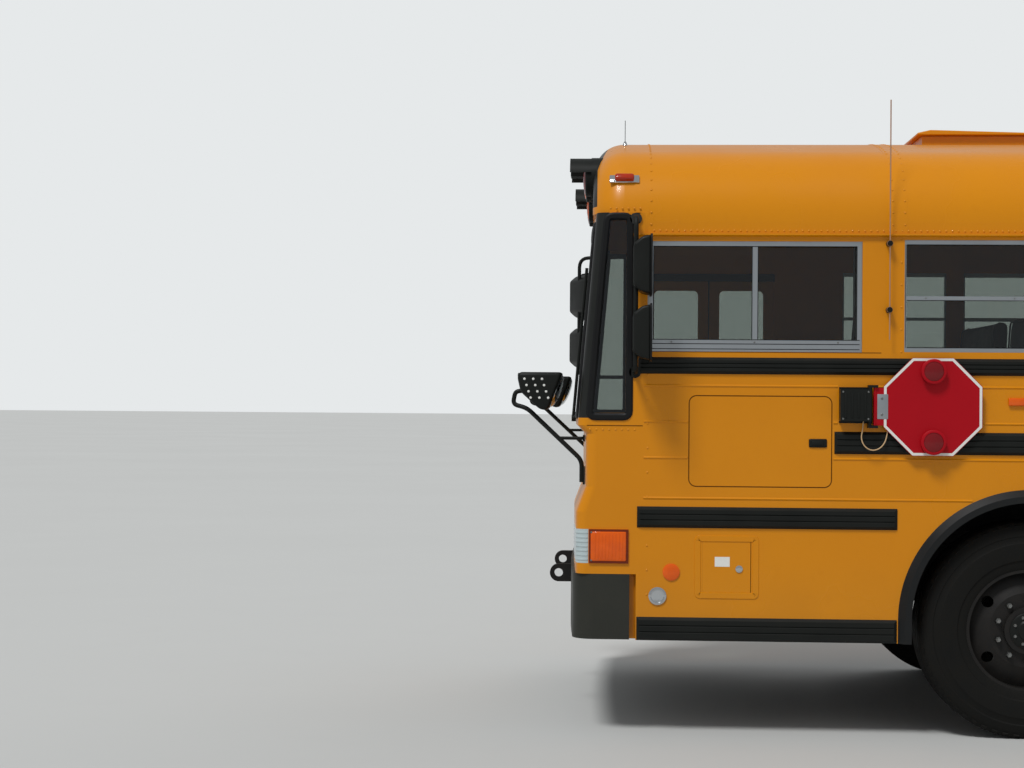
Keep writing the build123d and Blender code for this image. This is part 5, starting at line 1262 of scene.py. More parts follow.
@dataclass
class Skin:
    """Seams, straps, fillers and rivets of the body's skin, sizes in metres."""

    cant_row: float = 0.028
    side_pitch: float = 0.029
    mask_pitch: float = 0.12
    lap_pitch: float = 0.030
    lap_row: float = 0.020
    cap_pitch: float = 0.028
    cap_row_z: float = 2.484
    post_pitch: float = 0.036
    pillar_pitch: float = 0.105
    roof_pitch: float = 0.058
    first_joint: float = 0.62
    joints: int = 7
    strap_width: float = 0.080
    strap_rise: float = 0.0012
    strap_edge: float = 0.012
    pillar_edge: float = 0.014
    section: RoofSection = field(default_factory=RoofSection)

    def build(self) -> None:
        """Adds all the details of the skin."""
        rivets = Rivets("skin_rivets")
        self._roof_joints(rivets)
        for side in Side:
            self._side_rows(side, rivets)
        rivets.build()
        self._lap_shade_lines()
        self._fillers()

    def _side_rows(self, side: Side, rivets: Rivets) -> None:
        """Rivet rows along the cant rail, the mask, the laps and the pillars of one side.

        Args:
            side: the side of the bus.
            rivets: what they are added to.
        """
        y, out = side.value * HALF_WIDTH, (0.0, side.value, 0.0)
        mask, lap, post = st(MASK_SEAM) - 0.018, FRAME_LOW_Z - self.lap_row, st(1.804)
        cant = CANT_Z + self.cant_row
        rows = (
            (REAR_SEAM_X + 0.03, cant, st(CAP_SEAM) - 0.03, cant, self.side_pitch),
            (mask, 0.55, mask, 1.70, self.mask_pitch),
            (st(1.85), lap, st(2.06), lap, self.lap_pitch),
            (st(1.83), self.cap_row_z, st(1.97), self.cap_row_z, self.cap_pitch),
            (post, 1.86, post, 2.34, self.post_pitch),
        )
        for x0, z0, x1, z1, pitch in rows:
            rivets.line((x0, y, z0), (x1, y, z1), out, pitch)
        for index, (rear, front) in enumerate(window_bays()):
            if side is Side.LEFT and index == EMERGENCY_BAY:
                continue
            for x in (rear - self.pillar_edge, front + self.pillar_edge):
                rivets.line((x, y, WINDOW_LOW_Z), (x, y, WINDOW_HIGH_Z), out, self.pillar_pitch)

    def _roof_joints(self, rivets: Rivets) -> None:
        """Raised straps over the roof with a rivet row along each edge.

        Args:
            rivets: what the rows are added to.
        """
        strap = Piece("roof_joint_straps", Kit.ENAMEL)
        half = self.strap_width / 2
        band = [(-half, -0.002), (-half, self.strap_rise), (half, self.strap_rise), (half, -0.002)]
        line = self.section.whole(0.05)
        for joint in range(self.joints):
            x = st(self.first_joint) - 2 * WINDOW_PITCH * joint
            strap.sweep(band, [(x, y, z) for (y, z), _ in line], (0.0, 1.0, 0.0))
            for way in (-1, 1):
                self._band_rivets(rivets, x + way * (half - self.strap_edge))
        for x in (st(CAP_SEAM) - 0.016, REAR_SEAM_X + 0.016):
            self._band_rivets(rivets, x)
        strap.done()

    def _band_rivets(self, rivets: Rivets, x: float) -> None:
        """One rivet row over the whole roof at an X of the frame."""
        lift = self.strap_rise
        for (y, z), (oy, oz) in self.section.whole(self.roof_pitch)[1:-1]:
            rivets.places.append(((x, y + oy * lift, z + oz * lift), (0.0, oy, oz)))

    @staticmethod
    def _lap_shade_lines() -> None:
        """Dark lines of painted shade at the laps under the driver's window and the front quarter window."""
        lap = Piece("lap_shade_lines", Kit.GAP_SHADE)
        seams = (
            (0.70, 1.852, 1.8085, 1.8105, 0.0015),
            (1.812, 2.075, FRAME_LOW_Z - 0.002, FRAME_LOW_Z + 0.001, 0.0012),
        )
        for s in (1, -1):
            y = s * HALF_WIDTH
            for x0, x1, z0, z1, proud in seams:
                lap.box((st(x1), y - s * 0.001, z0), (st(x0), y + s * proud, z1))
        lap.done()

    @staticmethod
    def _fillers() -> None:
        """Closes the skirt behind the bumper and the top of the first pillar."""
        filler = Piece("skirt_returns", Kit.ENAMEL)
        for s in (1, -1):
            filler.box((st(1.836), s * 1.168, 0.452), (st(1.905), s * 1.180, 0.765), 0.002)
            filler.box((st(1.788), s * 1.196, 2.345), (st(1.814), s * 1.2185, 2.467), 0.001)
        filler.done()


@dataclass
class Glazing:
    """Rubber beads, channels and screws round the glass, sizes in metres."""

    width: float = 0.034
    proud: float = 0.009
    corner: float = 0.030
    inset: float = 0.035
    quarter_rear: float = 1.876
    quarter_gap: float = 0.052
    rear_window: tuple[Flat, Flat] = ((-0.560, 1.640), (0.560, 2.240))
    rear_bow: float = 0.020
    frame_y: float = HALF_WIDTH - 0.0075
    line_proud: float = 0.0012

    def build(self) -> None:
        """Dresses the front, side and rear glass."""
        beads = Piece("front_gaskets", Kit.GASKET)
        low, high = FRAME_LOW_Z + 0.045, CAP_LOW_Z - 0.050
        for side in Side:
            s = side.value
            flat = rounded((s * self.inset, low), (s * (HALF_WIDTH - 0.114), high), self.corner)
            self._bead(beads, [(front_x(y, z), y, z) for y, z in flat], (1.0, 0.0, 0.085))
            self._bead(beads, self._quarter(s), (0.0, s, 0.0))
        half = HALF_WIDTH - 0.110
        rear = rounded(*self.rear_window, self.corner)
        line = [(REAR_FACE_X + self.rear_bow * (y / half) ** 2, y, z) for y, z in rear]
        self._bead(beads, line, (-1.0, 0.0, 0.0))
        beads.done()
        dark = Piece("window_channels", Kit.GASKET)
        heads = Piece("window_screws", Kit.ZINC)
        for side in Side:
            self._passenger(side, dark, heads)
        self._driver(dark, heads)
        dark.done()
        heads.done()

    def _bead(self, piece: Piece, path: Sequence[Point], out: Point) -> None:
        """Lays one closed rubber bead along a path, standing out of it along `out`.

        Args:
            piece: what it is added to.
            path: the points that it follows.
            out: the direction in which it stands.
        """
        half = self.width / 2
        low, mid, top = -0.006, 0.003, self.proud
        left = [(-half, low), (-half, mid), (-half * 0.5, top)]
        piece.sweep(left + [(-a, b) for a, b in reversed(left)], path, out, closed=True)

    def _quarter(self, s: int) -> list[Point]:
        """The outline of the quarter window on one side, raked along its front.

        Args:
            s: 1 on the left and -1 on the right.

        Returns:
            The points round it.
        """
        low, high = FRAME_LOW_Z + 0.040, CAP_LOW_Z - 0.017
        rake = (FRAME_TOP_X - CORNER_X) / (CAP_LOW_Z - FRAME_LOW_Z)
        ahead = [st(CORNER_X + (z - FRAME_LOW_Z) * rake - self.quarter_gap) for z in (low, high)]
        rear = st(self.quarter_rear)
        corners = [(rear, low), (ahead[0], low), (ahead[1], high), (rear, high)]
        path = []
        for index, corner in enumerate(corners):
            at = Vector(corner)
            before = (Vector(corners[index - 1]) - at).normalized() * self.corner
            after = (Vector(corners[(index + 1) % 4]) - at).normalized() * self.corner
            path += [at + before * (1 - t) ** 2 + after * t**2 for t in (0.0, 0.25, 0.5, 0.75, 1.0)]
        return [(x, s * HALF_WIDTH, z) for x, z in path]

    def _passenger(self, side: Side, dark: Piece, heads: Piece) -> None:
        """Dark channels round the sashes of one side's passenger windows, and their screws.

        Args:
            side: the side of the bus.
            dark: what the channels are added to.
            heads: the same for the screws.
        """
        s = side.value
        y0, y1 = s * (self.frame_y - 0.002), s * (self.frame_y + self.line_proud)
        lines = ((WINDOW_HIGH_Z - 0.024, 0.004), (SASH_Z - 0.012, 0.003), (WINDOW_LOW_Z + 0.019, 0.004))
        for index, (rear, front) in enumerate(window_bays()):
            if (side is Side.LEFT and index == EMERGENCY_BAY) or (side is Side.RIGHT and index < 1):
                continue
            for z, tall in lines:
                dark.box((rear + 0.012, y0, z), (front - 0.012, y1, z + tall))
            for x in (rear + 0.006, front - 0.006):
                dark.box((x - 0.001, y0, WINDOW_LOW_Z + 0.02), (x + 0.001, y1, WINDOW_HIGH_Z - 0.02))
            screws(heads, [(rear + 0.10, y1, SASH_Z), (front - 0.10, y1, SASH_Z)], (0.0, s, 0.0), 0.004)

    def _driver(self, dark: Piece, heads: Piece) -> None:
        """The same for the driver's sliding window, whose sill has three grooves.

        Args:
            dark: what the channels are added to.
            heads: the same for the screws.
        """
        y0, y1 = self.frame_y - 0.002, self.frame_y + self.line_proud
        for z in (1.822, 1.846, 1.866):
            dark.box((st(0.80), y0, z), (st(1.783), y1, z + 0.0035))
        for x0, x1 in ((0.812, 0.816), (1.2735, 1.277), (1.301, 1.304), (1.763, 1.767)):
            dark.box((st(x0), y0, 1.868), (st(x1), y1, 2.308))
        dark.box((st(0.812), y0, 2.305), (st(1.767), y1, 2.3085))
        screws(heads, [(st(x), y1, 1.856) for x in (0.90, 1.29, 1.68)], (0.0, 1.0, 0.0), 0.0045)


# Wheels


@dataclass
class Wheels:
    """Tyres with tread and the wheels' nuts and hub caps, sizes in metres."""

    tread_steps: int = 120
    lugs: int = 60
    bead_r: float = 0.286
    bead_set: float = 0.020
    groove: float = 0.010
    nut_ring: float = 0.1425
    front_cap_r: float = 0.085
    rear_cap_r: float = 0.100

    def build(self) -> None:
        """Dresses all six wheels."""
        for side in Side:
            word, s = side.name.lower(), side.value
            body = f"wheel_front_{word}"
            tyre = self._tyres(f"tread_tyre_front_{word}", AXLE_X, [s * TRACK_Y], body)
            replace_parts(tyre, f"tyre_front_{word}")
            self._hub(f"front_{word}", AXLE_X, s, (TRACK_Y + 0.095, TRACK_Y + 0.120), self.front_cap_r)
            body = f"wheel_rear_{word}"
            middles = [s * TRACK_Y, s * (TRACK_Y - TWIN_PITCH)]
            tyre = self._tyres(f"tread_tyres_rear_{word}", REAR_AXLE_X, middles, body)
            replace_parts(tyre, f"tyres_rear_{word}")
            faces = (TRACK_Y - TWIN_PITCH / 2 + 0.014, TRACK_Y + 0.030)
            self._hub(f"rear_{word}", REAR_AXLE_X, s, faces, self.rear_cap_r)

    def _profile(self) -> list[Flat]:
        """The tyre's section from bead to bead, with grooves in the tread."""
        half, low = TYRE_WIDTH / 2, self.bead_r
        bead = half - self.bead_set
        wall = [
            (low, bead),
            (low + 0.012, bead + 0.006),
            (low + 0.030, half - 0.012),
            (low + 0.040, half - 0.010),
            (low + 0.046, half - 0.005),
            (low + 0.085, half),
            (low + 0.125, half - 0.001),
            (low + 0.130, half - 0.004),
            (low + 0.155, half - 0.006),
            (low + 0.160, half - 0.003),
            (WHEEL_R - 0.040, half - 0.008),
            (WHEEL_R - 0.016, half - 0.018),
            (WHEEL_R - 0.003, half - 0.032),
        ]
        tread = []
        for outer, inner in ((0.085, 0.077), (0.031, 0.023)):
            tread += [(WHEEL_R, outer), (WHEEL_R - self.groove, outer - 0.001)]
            tread += [(WHEEL_R - self.groove, inner + 0.001), (WHEEL_R, inner)]
        one = wall + tread
        return one + [(r, -h) for r, h in reversed(one)]

    def _tyres(self, name: str, x: float, middles: list[float], body: str) -> bpy.types.Object:
        """Makes the tyres of one wheel, with the blocks along their shoulders.

        Args:
            name: the piece's name.
            x: the axle's X.
            middles: the Y of each tyre's middle.
            body: the CAD body that they ride on.

        Returns:
            The tyres as one object.
        """
        piece = Piece(name, Kit.TYRE)
        for y in middles:
            middle = Matrix.Translation((x, y, WHEEL_R))
            piece.lathe(self._profile(), middle @ Matrix.Rotation(-pi / 2, 4, "X"), self.tread_steps)
            for side in (1, -1):
                lug = Matrix.Translation((0, side * (TYRE_WIDTH / 2 - 0.024), WHEEL_R - 0.014))
                tilt = Matrix.Rotation(-side * radians(36), 4, "X")
                for i in range(self.lugs):
                    turn = Matrix.Rotation(2 * pi * i / self.lugs, 4, "Y")
                    piece.block(middle @ turn @ lug @ tilt, (0.026, 0.020, 0.010))
        return piece.done(body, 28.0)

    def _hub(self, name: str, x: float, s: int, faces: Flat, cap_r: float) -> None:
        """Adds a wheel's ten nuts and its hub cap with eight small bolts.

        Args:
            name: the wheel, as in its body's name.
            x: the axle's X.
            s: 1 on the left and -1 on the right.
            faces: how far out the nuts and the cap start.
            cap_r: the cap's radius.
        """
        body = f"wheel_{name}"
        nuts = Piece(f"{name}_nuts", Kit.ZINC)
        nut = [(0.015, 0.0), (0.015, 0.014), (0.012, 0.018), (0.0085, 0.018), (0.0085, 0.030), (0.0, 0.031)]
        bolt = [(r * 0.55, h * 0.4) for r, h in nut]
        rings = ((nut, self.nut_ring, 10, faces[0]), (bolt, cap_r * 0.78, 8, faces[1] + 0.005))
        for shape, ring, count, y in rings:
            for i in range(count):
                turn = 2 * pi * (i + 0.5) / count
                at = (x + ring * cos(turn), s * y, WHEEL_R + ring * sin(turn))
                nuts.lathe(shape, facing(at, (0, s, 0)), 6)
        nuts.done(body)
        cap = Piece(f"{name}_hub_cap", Kit.BLACK)
        rim = (cap_r, 0.0), (cap_r, 0.005), (cap_r * 0.92, 0.009), (cap_r * 0.6, 0.010)
        profile = [*rim, (cap_r * 0.52, 0.016), (0.0, 0.018)]
        cap.lathe(profile, facing((x, s * faces[1], WHEEL_R), (0, s, 0)), 40)
        cap.done(body)


# Stop arm


@dataclass
class StopArm:
    """The sign's border and lamps, and what is on the motor housing, sizes in metres."""

    middle: Flat = (0.236 + 0.457 / 2, 1.558)
    across: float = 0.457
    border: float = 0.012
    sheet: float = 0.0006
    lamp_lift: float = 0.165
    face_y: float = HALF_WIDTH + 0.037
    back_y: float = HALF_WIDTH + 0.031
    box_y: float = HALF_WIDTH + 0.060

    def build(self) -> None:
        """Dresses the arm."""
        border = Piece("sign_border", Kit.WHITE)
        for y, out in ((self.face_y, 1.0), (self.back_y, -1.0)):
            self._ring(border, y, out)
        border.done("stop_arm")
        self._lamps()
        self._fittings()

    def _ring(self, piece: Piece, y: float, out: float) -> None:
        """Adds the eight-sided border of one face of the sign.

        Args:
            piece: what it is added to.
            y: the Y of the face.
            out: 1 where it looks to the left and -1 to the right.
        """
        part = bmesh.new()
        radius = (self.across / 2 - 0.002) / cos(pi / 8)
        turn = Matrix.Rotation(pi / 8, 4, "Z")
        bmesh.ops.create_circle(part, cap_ends=True, segments=8, radius=radius, matrix=turn)
        middle = part.faces[:]
        bmesh.ops.inset_region(
            part, faces=middle, thickness=self.border, use_boundary=True, use_even_offset=True
        )
        bmesh.ops.delete(part, geom=middle, context="FACES")
        made = bmesh.ops.extrude_face_region(part, geom=part.faces[:])["geom"]
        tops = [v for v in made if isinstance(v, bmesh.types.BMVert)]
        bmesh.ops.translate(part, verts=tops, vec=(0, 0, self.sheet))
        place = facing((st(self.middle[0]), y, self.middle[1]), (0, out, 0))
        bmesh.ops.transform(part, matrix=place, verts=part.verts)
        piece.take(part)

    def _lamps(self) -> None:
        """Adds the lenses and rims of the sign's two lamps."""
        lens = Piece("sign_lamp_lenses", Kit.RED_LENS)
        rim = Piece("sign_lamp_rims", Kit.RED)
        inner = (0.046, 0.0)
        bowl = [inner, (0.046, 0.003), (0.036, 0.007), (0.024, 0.0095), (0.012, 0.011), (0.0, 0.0115)]
        edge = [(0.0575, -0.004), (0.0585, 0.0), (0.0585, 0.003), (0.053, 0.006), (0.046, 0.0055), inner]
        for way in (1, -1):
            z = self.middle[1] + way * self.lamp_lift
            at = facing((st(self.middle[0]), self.face_y + 0.025, z), (0, 1, 0))
            lens.lathe(bowl, at, 36)
            rim.lathe(edge, at, 36)
        lens.done("stop_arm")
        rim.done("stop_arm")

    def _fittings(self) -> None:
        """Adds the hinge strip with its screws, and the ribs and screws of the motor cover."""
        plate = Piece("sign_bracket_strip", Kit.ALUMINIUM)
        plate.box((st(0.672), self.face_y, 1.50), (st(0.722), self.face_y + 0.002, 1.616), 0.0008)
        plate.done("stop_arm")
        heads = Piece("sign_bracket_screws", Kit.ZINC)
        screws(heads, [(st(0.700), self.face_y + 0.002, z) for z in (1.52, 1.596)], (0, 1, 0), 0.006)
        heads.done("stop_arm")
        cover = Piece("motor_cover_ribs", Kit.BLACK)
        y = self.box_y
        for i in range(4):
            x = st(0.775 + 0.030 * i)
            cover.box((x, y - 0.001, 1.505), (x + 0.010, y + 0.003, 1.622), 0.001)
        cover.done()
        heads = Piece("motor_cover_screws", Kit.ZINC)
        screws(heads, [(st(x), y, z) for x in (0.765, 0.882) for z in (1.500, 1.626)], (0, 1, 0))
        heads.done()


# Lamps


@dataclass
class Lamps:
    """Lenses, rims, visors and markers, sizes in metres."""

    warning_y: Flat = (HALF_WIDTH - 0.389, HALF_WIDTH - 0.659)
    warning_z: float = 2.668
    warning_r: float = 0.086
    visor: float = 0.115
    turn_low: Flat = (1.876, 0.810)
    turn_high: Flat = (2.062, 0.970)
    flutes: int = 7
    flute_pitch: float = 0.021
    tail_y: float = HALF_WIDTH - 0.319
    marker_run: float = 0.218
    marker_z: float = 2.700
    side_z: Flat = (1.566, 1.602)

    def build(self) -> None:
        """Dresses every lamp."""
        self._warning()
        self._turn()
        self._corner()
        self._tail()
        self._markers()
        self._side_lamps()

    def _warning(self) -> None:
        """Makes the eight warning lamps, each a drum with a lens under a short visor."""
        hoods = Piece("warning_lamp_hoods", Kit.BLACK)
        r = self.warning_r
        drum = [(0.0, -0.070), (r + 0.016, -0.070), (r + 0.016, 0.010), (0.0, 0.012)]
        rim = [(r + 0.002, 0.008), (r + 0.002, 0.036), (r - 0.004, 0.040), (r - 0.006, 0.008)]
        edge = [(r + 0.013, 0.006), (r + 0.013, self.visor), (r + 0.009, self.visor), (r + 0.009, 0.006)]
        bowl = [(r - 0.004, 0.010), (r - 0.004, 0.036), (r * 0.8, 0.044), (r * 0.45, 0.050), (0.0, 0.052)]
        for name, face, way in (("front", st(CAP_FRONT), 1), ("rear", REAR_FACE_X + 0.020, -1)):
            for word, finish, y in zip(("red", "amber"), (Kit.RED_LENS, Kit.AMBER), self.warning_y):
                lens = Piece(f"{name}_{word}_warning_lenses", finish)
                for s in (1, -1):
                    at = facing((face, s * y, self.warning_z), (way, 0, 0))
                    hoods.lathe(drum, at, 40)
                    hoods.lathe(rim, at, 40)
                    hoods.lathe([*edge, edge[0]], at, 48, cut=r * 0.25)
                    lens.lathe(bowl, at, 40)
                lens.done()
        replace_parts(hoods.done(), "warning_lamps")

    def _turn(self) -> None:
        """Adds ribbed lenses, bezels and screws to the turn lamps."""
        bezel = Piece("turn_lamp_bezels", Kit.LENS_EDGE)
        lens = Piece("turn_lamp_lenses", Kit.AMBER)
        heads = Piece("turn_lamp_screws", Kit.ZINC)
        (x0, z0), (x1, z1) = self.turn_low, self.turn_high
        x0, x1 = st(x0), st(x1)
        strips = (
            ((x0, z0), (x1, z0 + 0.012)),
            ((x0, z1 - 0.012), (x1, z1)),
            ((x0, z0 + 0.010), (x0 + 0.012, z1 - 0.010)),
            ((x1 - 0.010, z0 + 0.010), (x1, z1 - 0.010)),
        )
        for side in Side:
            s = side.value
            y = s * (HALF_WIDTH + 0.006)
            low, high = (x0 + 0.010, y - s * 0.004, z0 + 0.010), (x1 - 0.008, y + s * 0.007, z1 - 0.010)
            lens.box(low, high, 0.006, 3)
            for i in range(9):
                x = x0 + 0.026 + i * 0.016
                lens.box((x, y + s * 0.005, z0 + 0.020), (x + 0.009, y + s * 0.0082, z1 - 0.020), 0.001)
            for low, high in strips:
                bezel.box((low[0], y - s * 0.002, low[1]), (high[0], y + s * 0.003, high[1]), 0.0015)
            places = [(x1 - 0.012, y + s * 0.006, z) for z in (z0 + 0.014, z1 - 0.014)]
            screws(heads, places, (0, s, 0), 0.005)
        for piece in (bezel, lens, heads):
            piece.done()

    def _corner(self) -> None:
        """Adds horizontal flutes to the clear lamps that wrap round the corners."""
        flutes = Piece("corner_lens_flutes", Kit.CLEAR)
        section = [(-0.006, -0.001), (-0.003, 0.002), (0.003, 0.002), (0.006, -0.001)]
        for s in (1, -1):
            for i in range(self.flutes):
                path = nose_path(2.068, MASK_CORNER_X, 0.66, 0.826 + i * self.flute_pitch, s)
                flutes.sweep(section, path, (0, s, 0))
        flutes.done()

    def _tail(self) -> None:
        """Adds domed lenses and chrome rims to the tail lamps."""
        rim = Piece("tail_lamp_rims", Kit.CHROME)
        stack = ((1.250, 0.090, Kit.AMBER), (1.500, 0.090, Kit.RED_LENS), (1.020, 0.060, Kit.CLEAR))
        for z, r, finish in stack:
            lens = Piece(f"tail_lens_{finish.name}", finish)
            bowl = [(r * 0.93, 0.0), (r * 0.93, 0.004), (r * 0.7, 0.009), (r * 0.35, 0.012), (0.0, 0.013)]
            edge = [(r + 0.006, -0.004), (r + 0.006, 0.002), (r, 0.006), (r * 0.93, 0.005), (r * 0.93, 0.0)]
            for s in (1, -1):
                at = facing((REAR_FACE_X - 0.012, s * self.tail_y, z), (-1, 0, 0))
                lens.lathe(bowl, at, 36)
                rim.lathe(edge, at, 36)
            lens.done()
        rim.done()

    def _markers(self) -> None:
        """Adds small marker lamps at the corners and in the middle of both caps."""
        base = Piece("marker_bases", Kit.CHROME)
        front = Piece("front_marker_lenses", Kit.MARKER)
        rear = Piece("rear_marker_lenses", Kit.RED_LENS)
        section = RoofSection()

        def lift(height: float) -> Matrix:
            """A move outwards from the skin."""
            return Matrix.Translation((0, 0, height))

        for s in (1, -1):
            (y, z), (oy, oz) = section.at(s, section.wall + self.marker_run)
            for x, lens in ((st(1.905), front), (REAR_SEAM_X + 0.06, rear)):
                at = facing((x, y, z), (0, oy, oz))
                base.block(at @ lift(0.004), (0.142, 0.044, 0.012), 0.004, 3)
                lens.block(at @ lift(0.018), (0.092, 0.036, 0.030), 0.012, 4)
        for x, way, lens in ((st(CAP_FRONT), 1, front), (REAR_FACE_X + 0.020, -1, rear)):
            for y in (-0.16, 0.0, 0.16):
                at = facing((x, y, self.marker_z), (way, 0, 0))
                base.block(at @ lift(0.002), (0.110, 0.040, 0.008), 0.003)
                lens.block(at @ lift(0.012), (0.086, 0.030, 0.022), 0.008, 3)
        for piece in (base, front, rear):
            piece.done()

    def _side_lamps(self) -> None:
        """Adds amber lamps ahead of the first passenger window and red ones at the rear."""
        low, high = self.side_z
        for name, x, finish in (("front", 0.066, Kit.AMBER), ("rear", -8.60, Kit.RED_LENS)):
            lens = Piece(f"{name}_side_lamps", finish)
            for s in (1, -1):
                y = s * HALF_WIDTH
                lens.box((st(x) - 0.045, y - s * 0.001, low), (st(x) + 0.045, y + s * 0.014, high), 0.005, 3)
            lens.done()


# Mirrors


@dataclass
class Mirrors:
    """Both crossview mirrors and both pairs of rear-view mirrors, sizes in metres."""

    tube_r: float = 0.011
    foot_y: float = 1.080
    strut_y: float = 1.063
    strut_z: float = 1.395
    route: tuple[Point, ...] = (
        (2.366, 1.040, 1.538),
        (2.436, 1.020, 1.556),
        (2.424, 1.020, 1.618),
        (2.375, 1.020, 1.622),
    )
    shell: tuple[Flat, ...] = (
        (2.193, 1.711),
        (2.262, 1.530),
        (2.300, 1.530),
        (2.395, 1.615),
        (2.412, 1.690),
        (2.405, 1.711),
    )
    shell_y: float = 0.889
    shell_width: float = 0.230
    view_x: Flat = (1.850, 2.160)
    view_z: tuple[Flat, Flat] = ((2.070, 2.340), (1.765, 2.020))
    view_half: float = 0.1225
    view_back: float = 0.069
    feet: Point = (1.850, 1.712, 2.436)
    out_y: float = HALF_WIDTH + 0.158

    def build(self) -> None:
        """Makes the mirrors in place of the frame's plain ones."""
        self.frames = Piece("mirror_arms", Kit.BLACK)
        self.glass = Piece("mirror_glass", Kit.MIRROR)
        self.rims = Piece("mirror_rims", Kit.GASKET)
        self.dots = Piece("crossview_dots", Kit.WHITE)
        for s in (1, -1):
            self._crossview(s)
        self._rear_view(1, self.view_x[0], 0.0)
        self._rear_view(-1, self.view_x[1], radians(25))
        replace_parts(self.frames.done(), "mirror_frames")
        for piece in (self.glass, self.rims, self.dots):
            piece.done()

    def _crossview(self, s: int) -> None:
        """Makes one wide-angle mirror on its looped tube, with its foot, strut and shield dots.

        Args:
            s: 1 on the left and -1 on the right.
        """
        frames, foot, strut, z = self.frames, s * self.foot_y, s * self.strut_y, self.strut_z
        frames.box((st(2.085), foot - 0.022, 1.174), (st(2.095), foot + 0.022, 1.262), 0.003)
        line = [(2.1003, foot, 1.185), (2.1003, foot, 1.290), *((x, s * y, h) for x, y, h in self.route)]
        frames.pipe([(st(x), y, h) for x, y, h in line], (0.030, 0.030, 0.025, 0.020), self.tube_r)
        frames.rod((st(2.2128), strut, z), (st(2.090), strut, z), 0.008)
        frames.rod((st(2.096), strut, z), (st(2.086), strut, z), 0.016, 20)
        outline = [(st(x), s * self.shell_y, h) for x, h in self.shell]
        frames.prism(outline, (0.0, s * self.shell_width, 0.0), 0.018, 4)
        at = facing((st(2.2265), s * 1.004, 1.6205), (-0.934, 0.0, -0.356), (0, 1, 0))
        bowl = [(cos(t), 0.022 * sin(t)) for t in (pi / 2 * i / 8 for i in range(9))]
        self.glass.lathe(bowl, at @ Matrix.Diagonal((0.082, 0.100, 1.0, 1.0)), 40)
        for row in range(4):
            for column in range(3):
                place = (st(2.262 + 0.042 * column + 0.010 * row), s * 1.119, 1.588 + 0.030 * row)
                self.dots.lathe(dome(0.006, 0.0015), facing(place, (0, s, 0)), 10)

    def _rear_view(self, s: int, x: float, turn: float) -> None:
        """Makes one pair of stacked mirrors on a bowed tube.

        Args:
            s: 1 on the left and -1 on the right.
            x: the station of the mirrors.
            turn: how far they are turned about their tube.
        """
        meshes = self.frames.bm, self.glass.bm, self.rims.bm
        counts = [len(bm.verts) for bm in meshes]
        for low, high in self.view_z:
            self._housing(s, st(x) - self.view_back, low, high)
        pivot = Matrix.Translation((st(x), s * self.out_y, 0))
        spun = pivot @ Matrix.Rotation(s * -turn, 4, "Z") @ pivot.inverted()
        for bm, count in zip(meshes, counts):
            bm.verts.ensure_lookup_table()
            bmesh.ops.transform(bm, matrix=spun, verts=bm.verts[count:])
        foot, low, high = self.feet
        stub, wall = s * (HALF_WIDTH + 0.040), s * HALF_WIDTH
        middle = [(x, s * self.out_y, high), (x, s * self.out_y, low)]
        bends = [0.060, 0.060]
        if foot != x:
            middle = [(foot, stub, high), *middle, (foot, stub, low)]
            bends = [0.030, *bends, 0.030]
        line = [(foot, wall, high), *middle, (foot, wall, low)]
        self.frames.pipe([(st(px), py, pz) for px, py, pz in line], bends, self.tube_r)
        for z in (low, high):
            start, end = (st(foot), s * (HALF_WIDTH + 0.001), z), (st(foot), s * (HALF_WIDTH + 0.009), z)
            self.frames.rod(start, end, 0.028, 24)

    def _housing(self, s: int, back: float, low: float, high: float) -> None:
        """Makes one housing with its glass and rim.

        Args:
            s: 1 on the left and -1 on the right.
            back: the X of its glass.
            low: its lowest Z.
            high: its highest Z.
        """
        y0, y1 = s * (self.out_y - self.view_half), s * (self.out_y + self.view_half)
        top = ((0.0, high), (0.0415, high - 0.008), (0.083, high - 0.042))
        shape = ((0.0, low), *top, (0.083, low + 0.042), (0.0415, low + 0.008))
        self.frames.prism([(back + dx, y0, z) for dx, z in shape], (0.0, y1 - y0, 0.0), 0.014, 4)
        near, far = (back - 0.003, y0 + s * 0.014, low + 0.014), (back + 0.002, y1 - s * 0.014, high - 0.014)
        self.glass.box(near, far, 0.001)
        line = [(back, y, z) for y, z in rounded((y0, low), (y1, high), 0.020)]
        edge = [(-0.005, -0.004), (-0.005, 0.005), (0.009, 0.005), (0.009, -0.004)]
        self.rims.sweep(edge, line, (-1, 0, 0), True)


# Seats


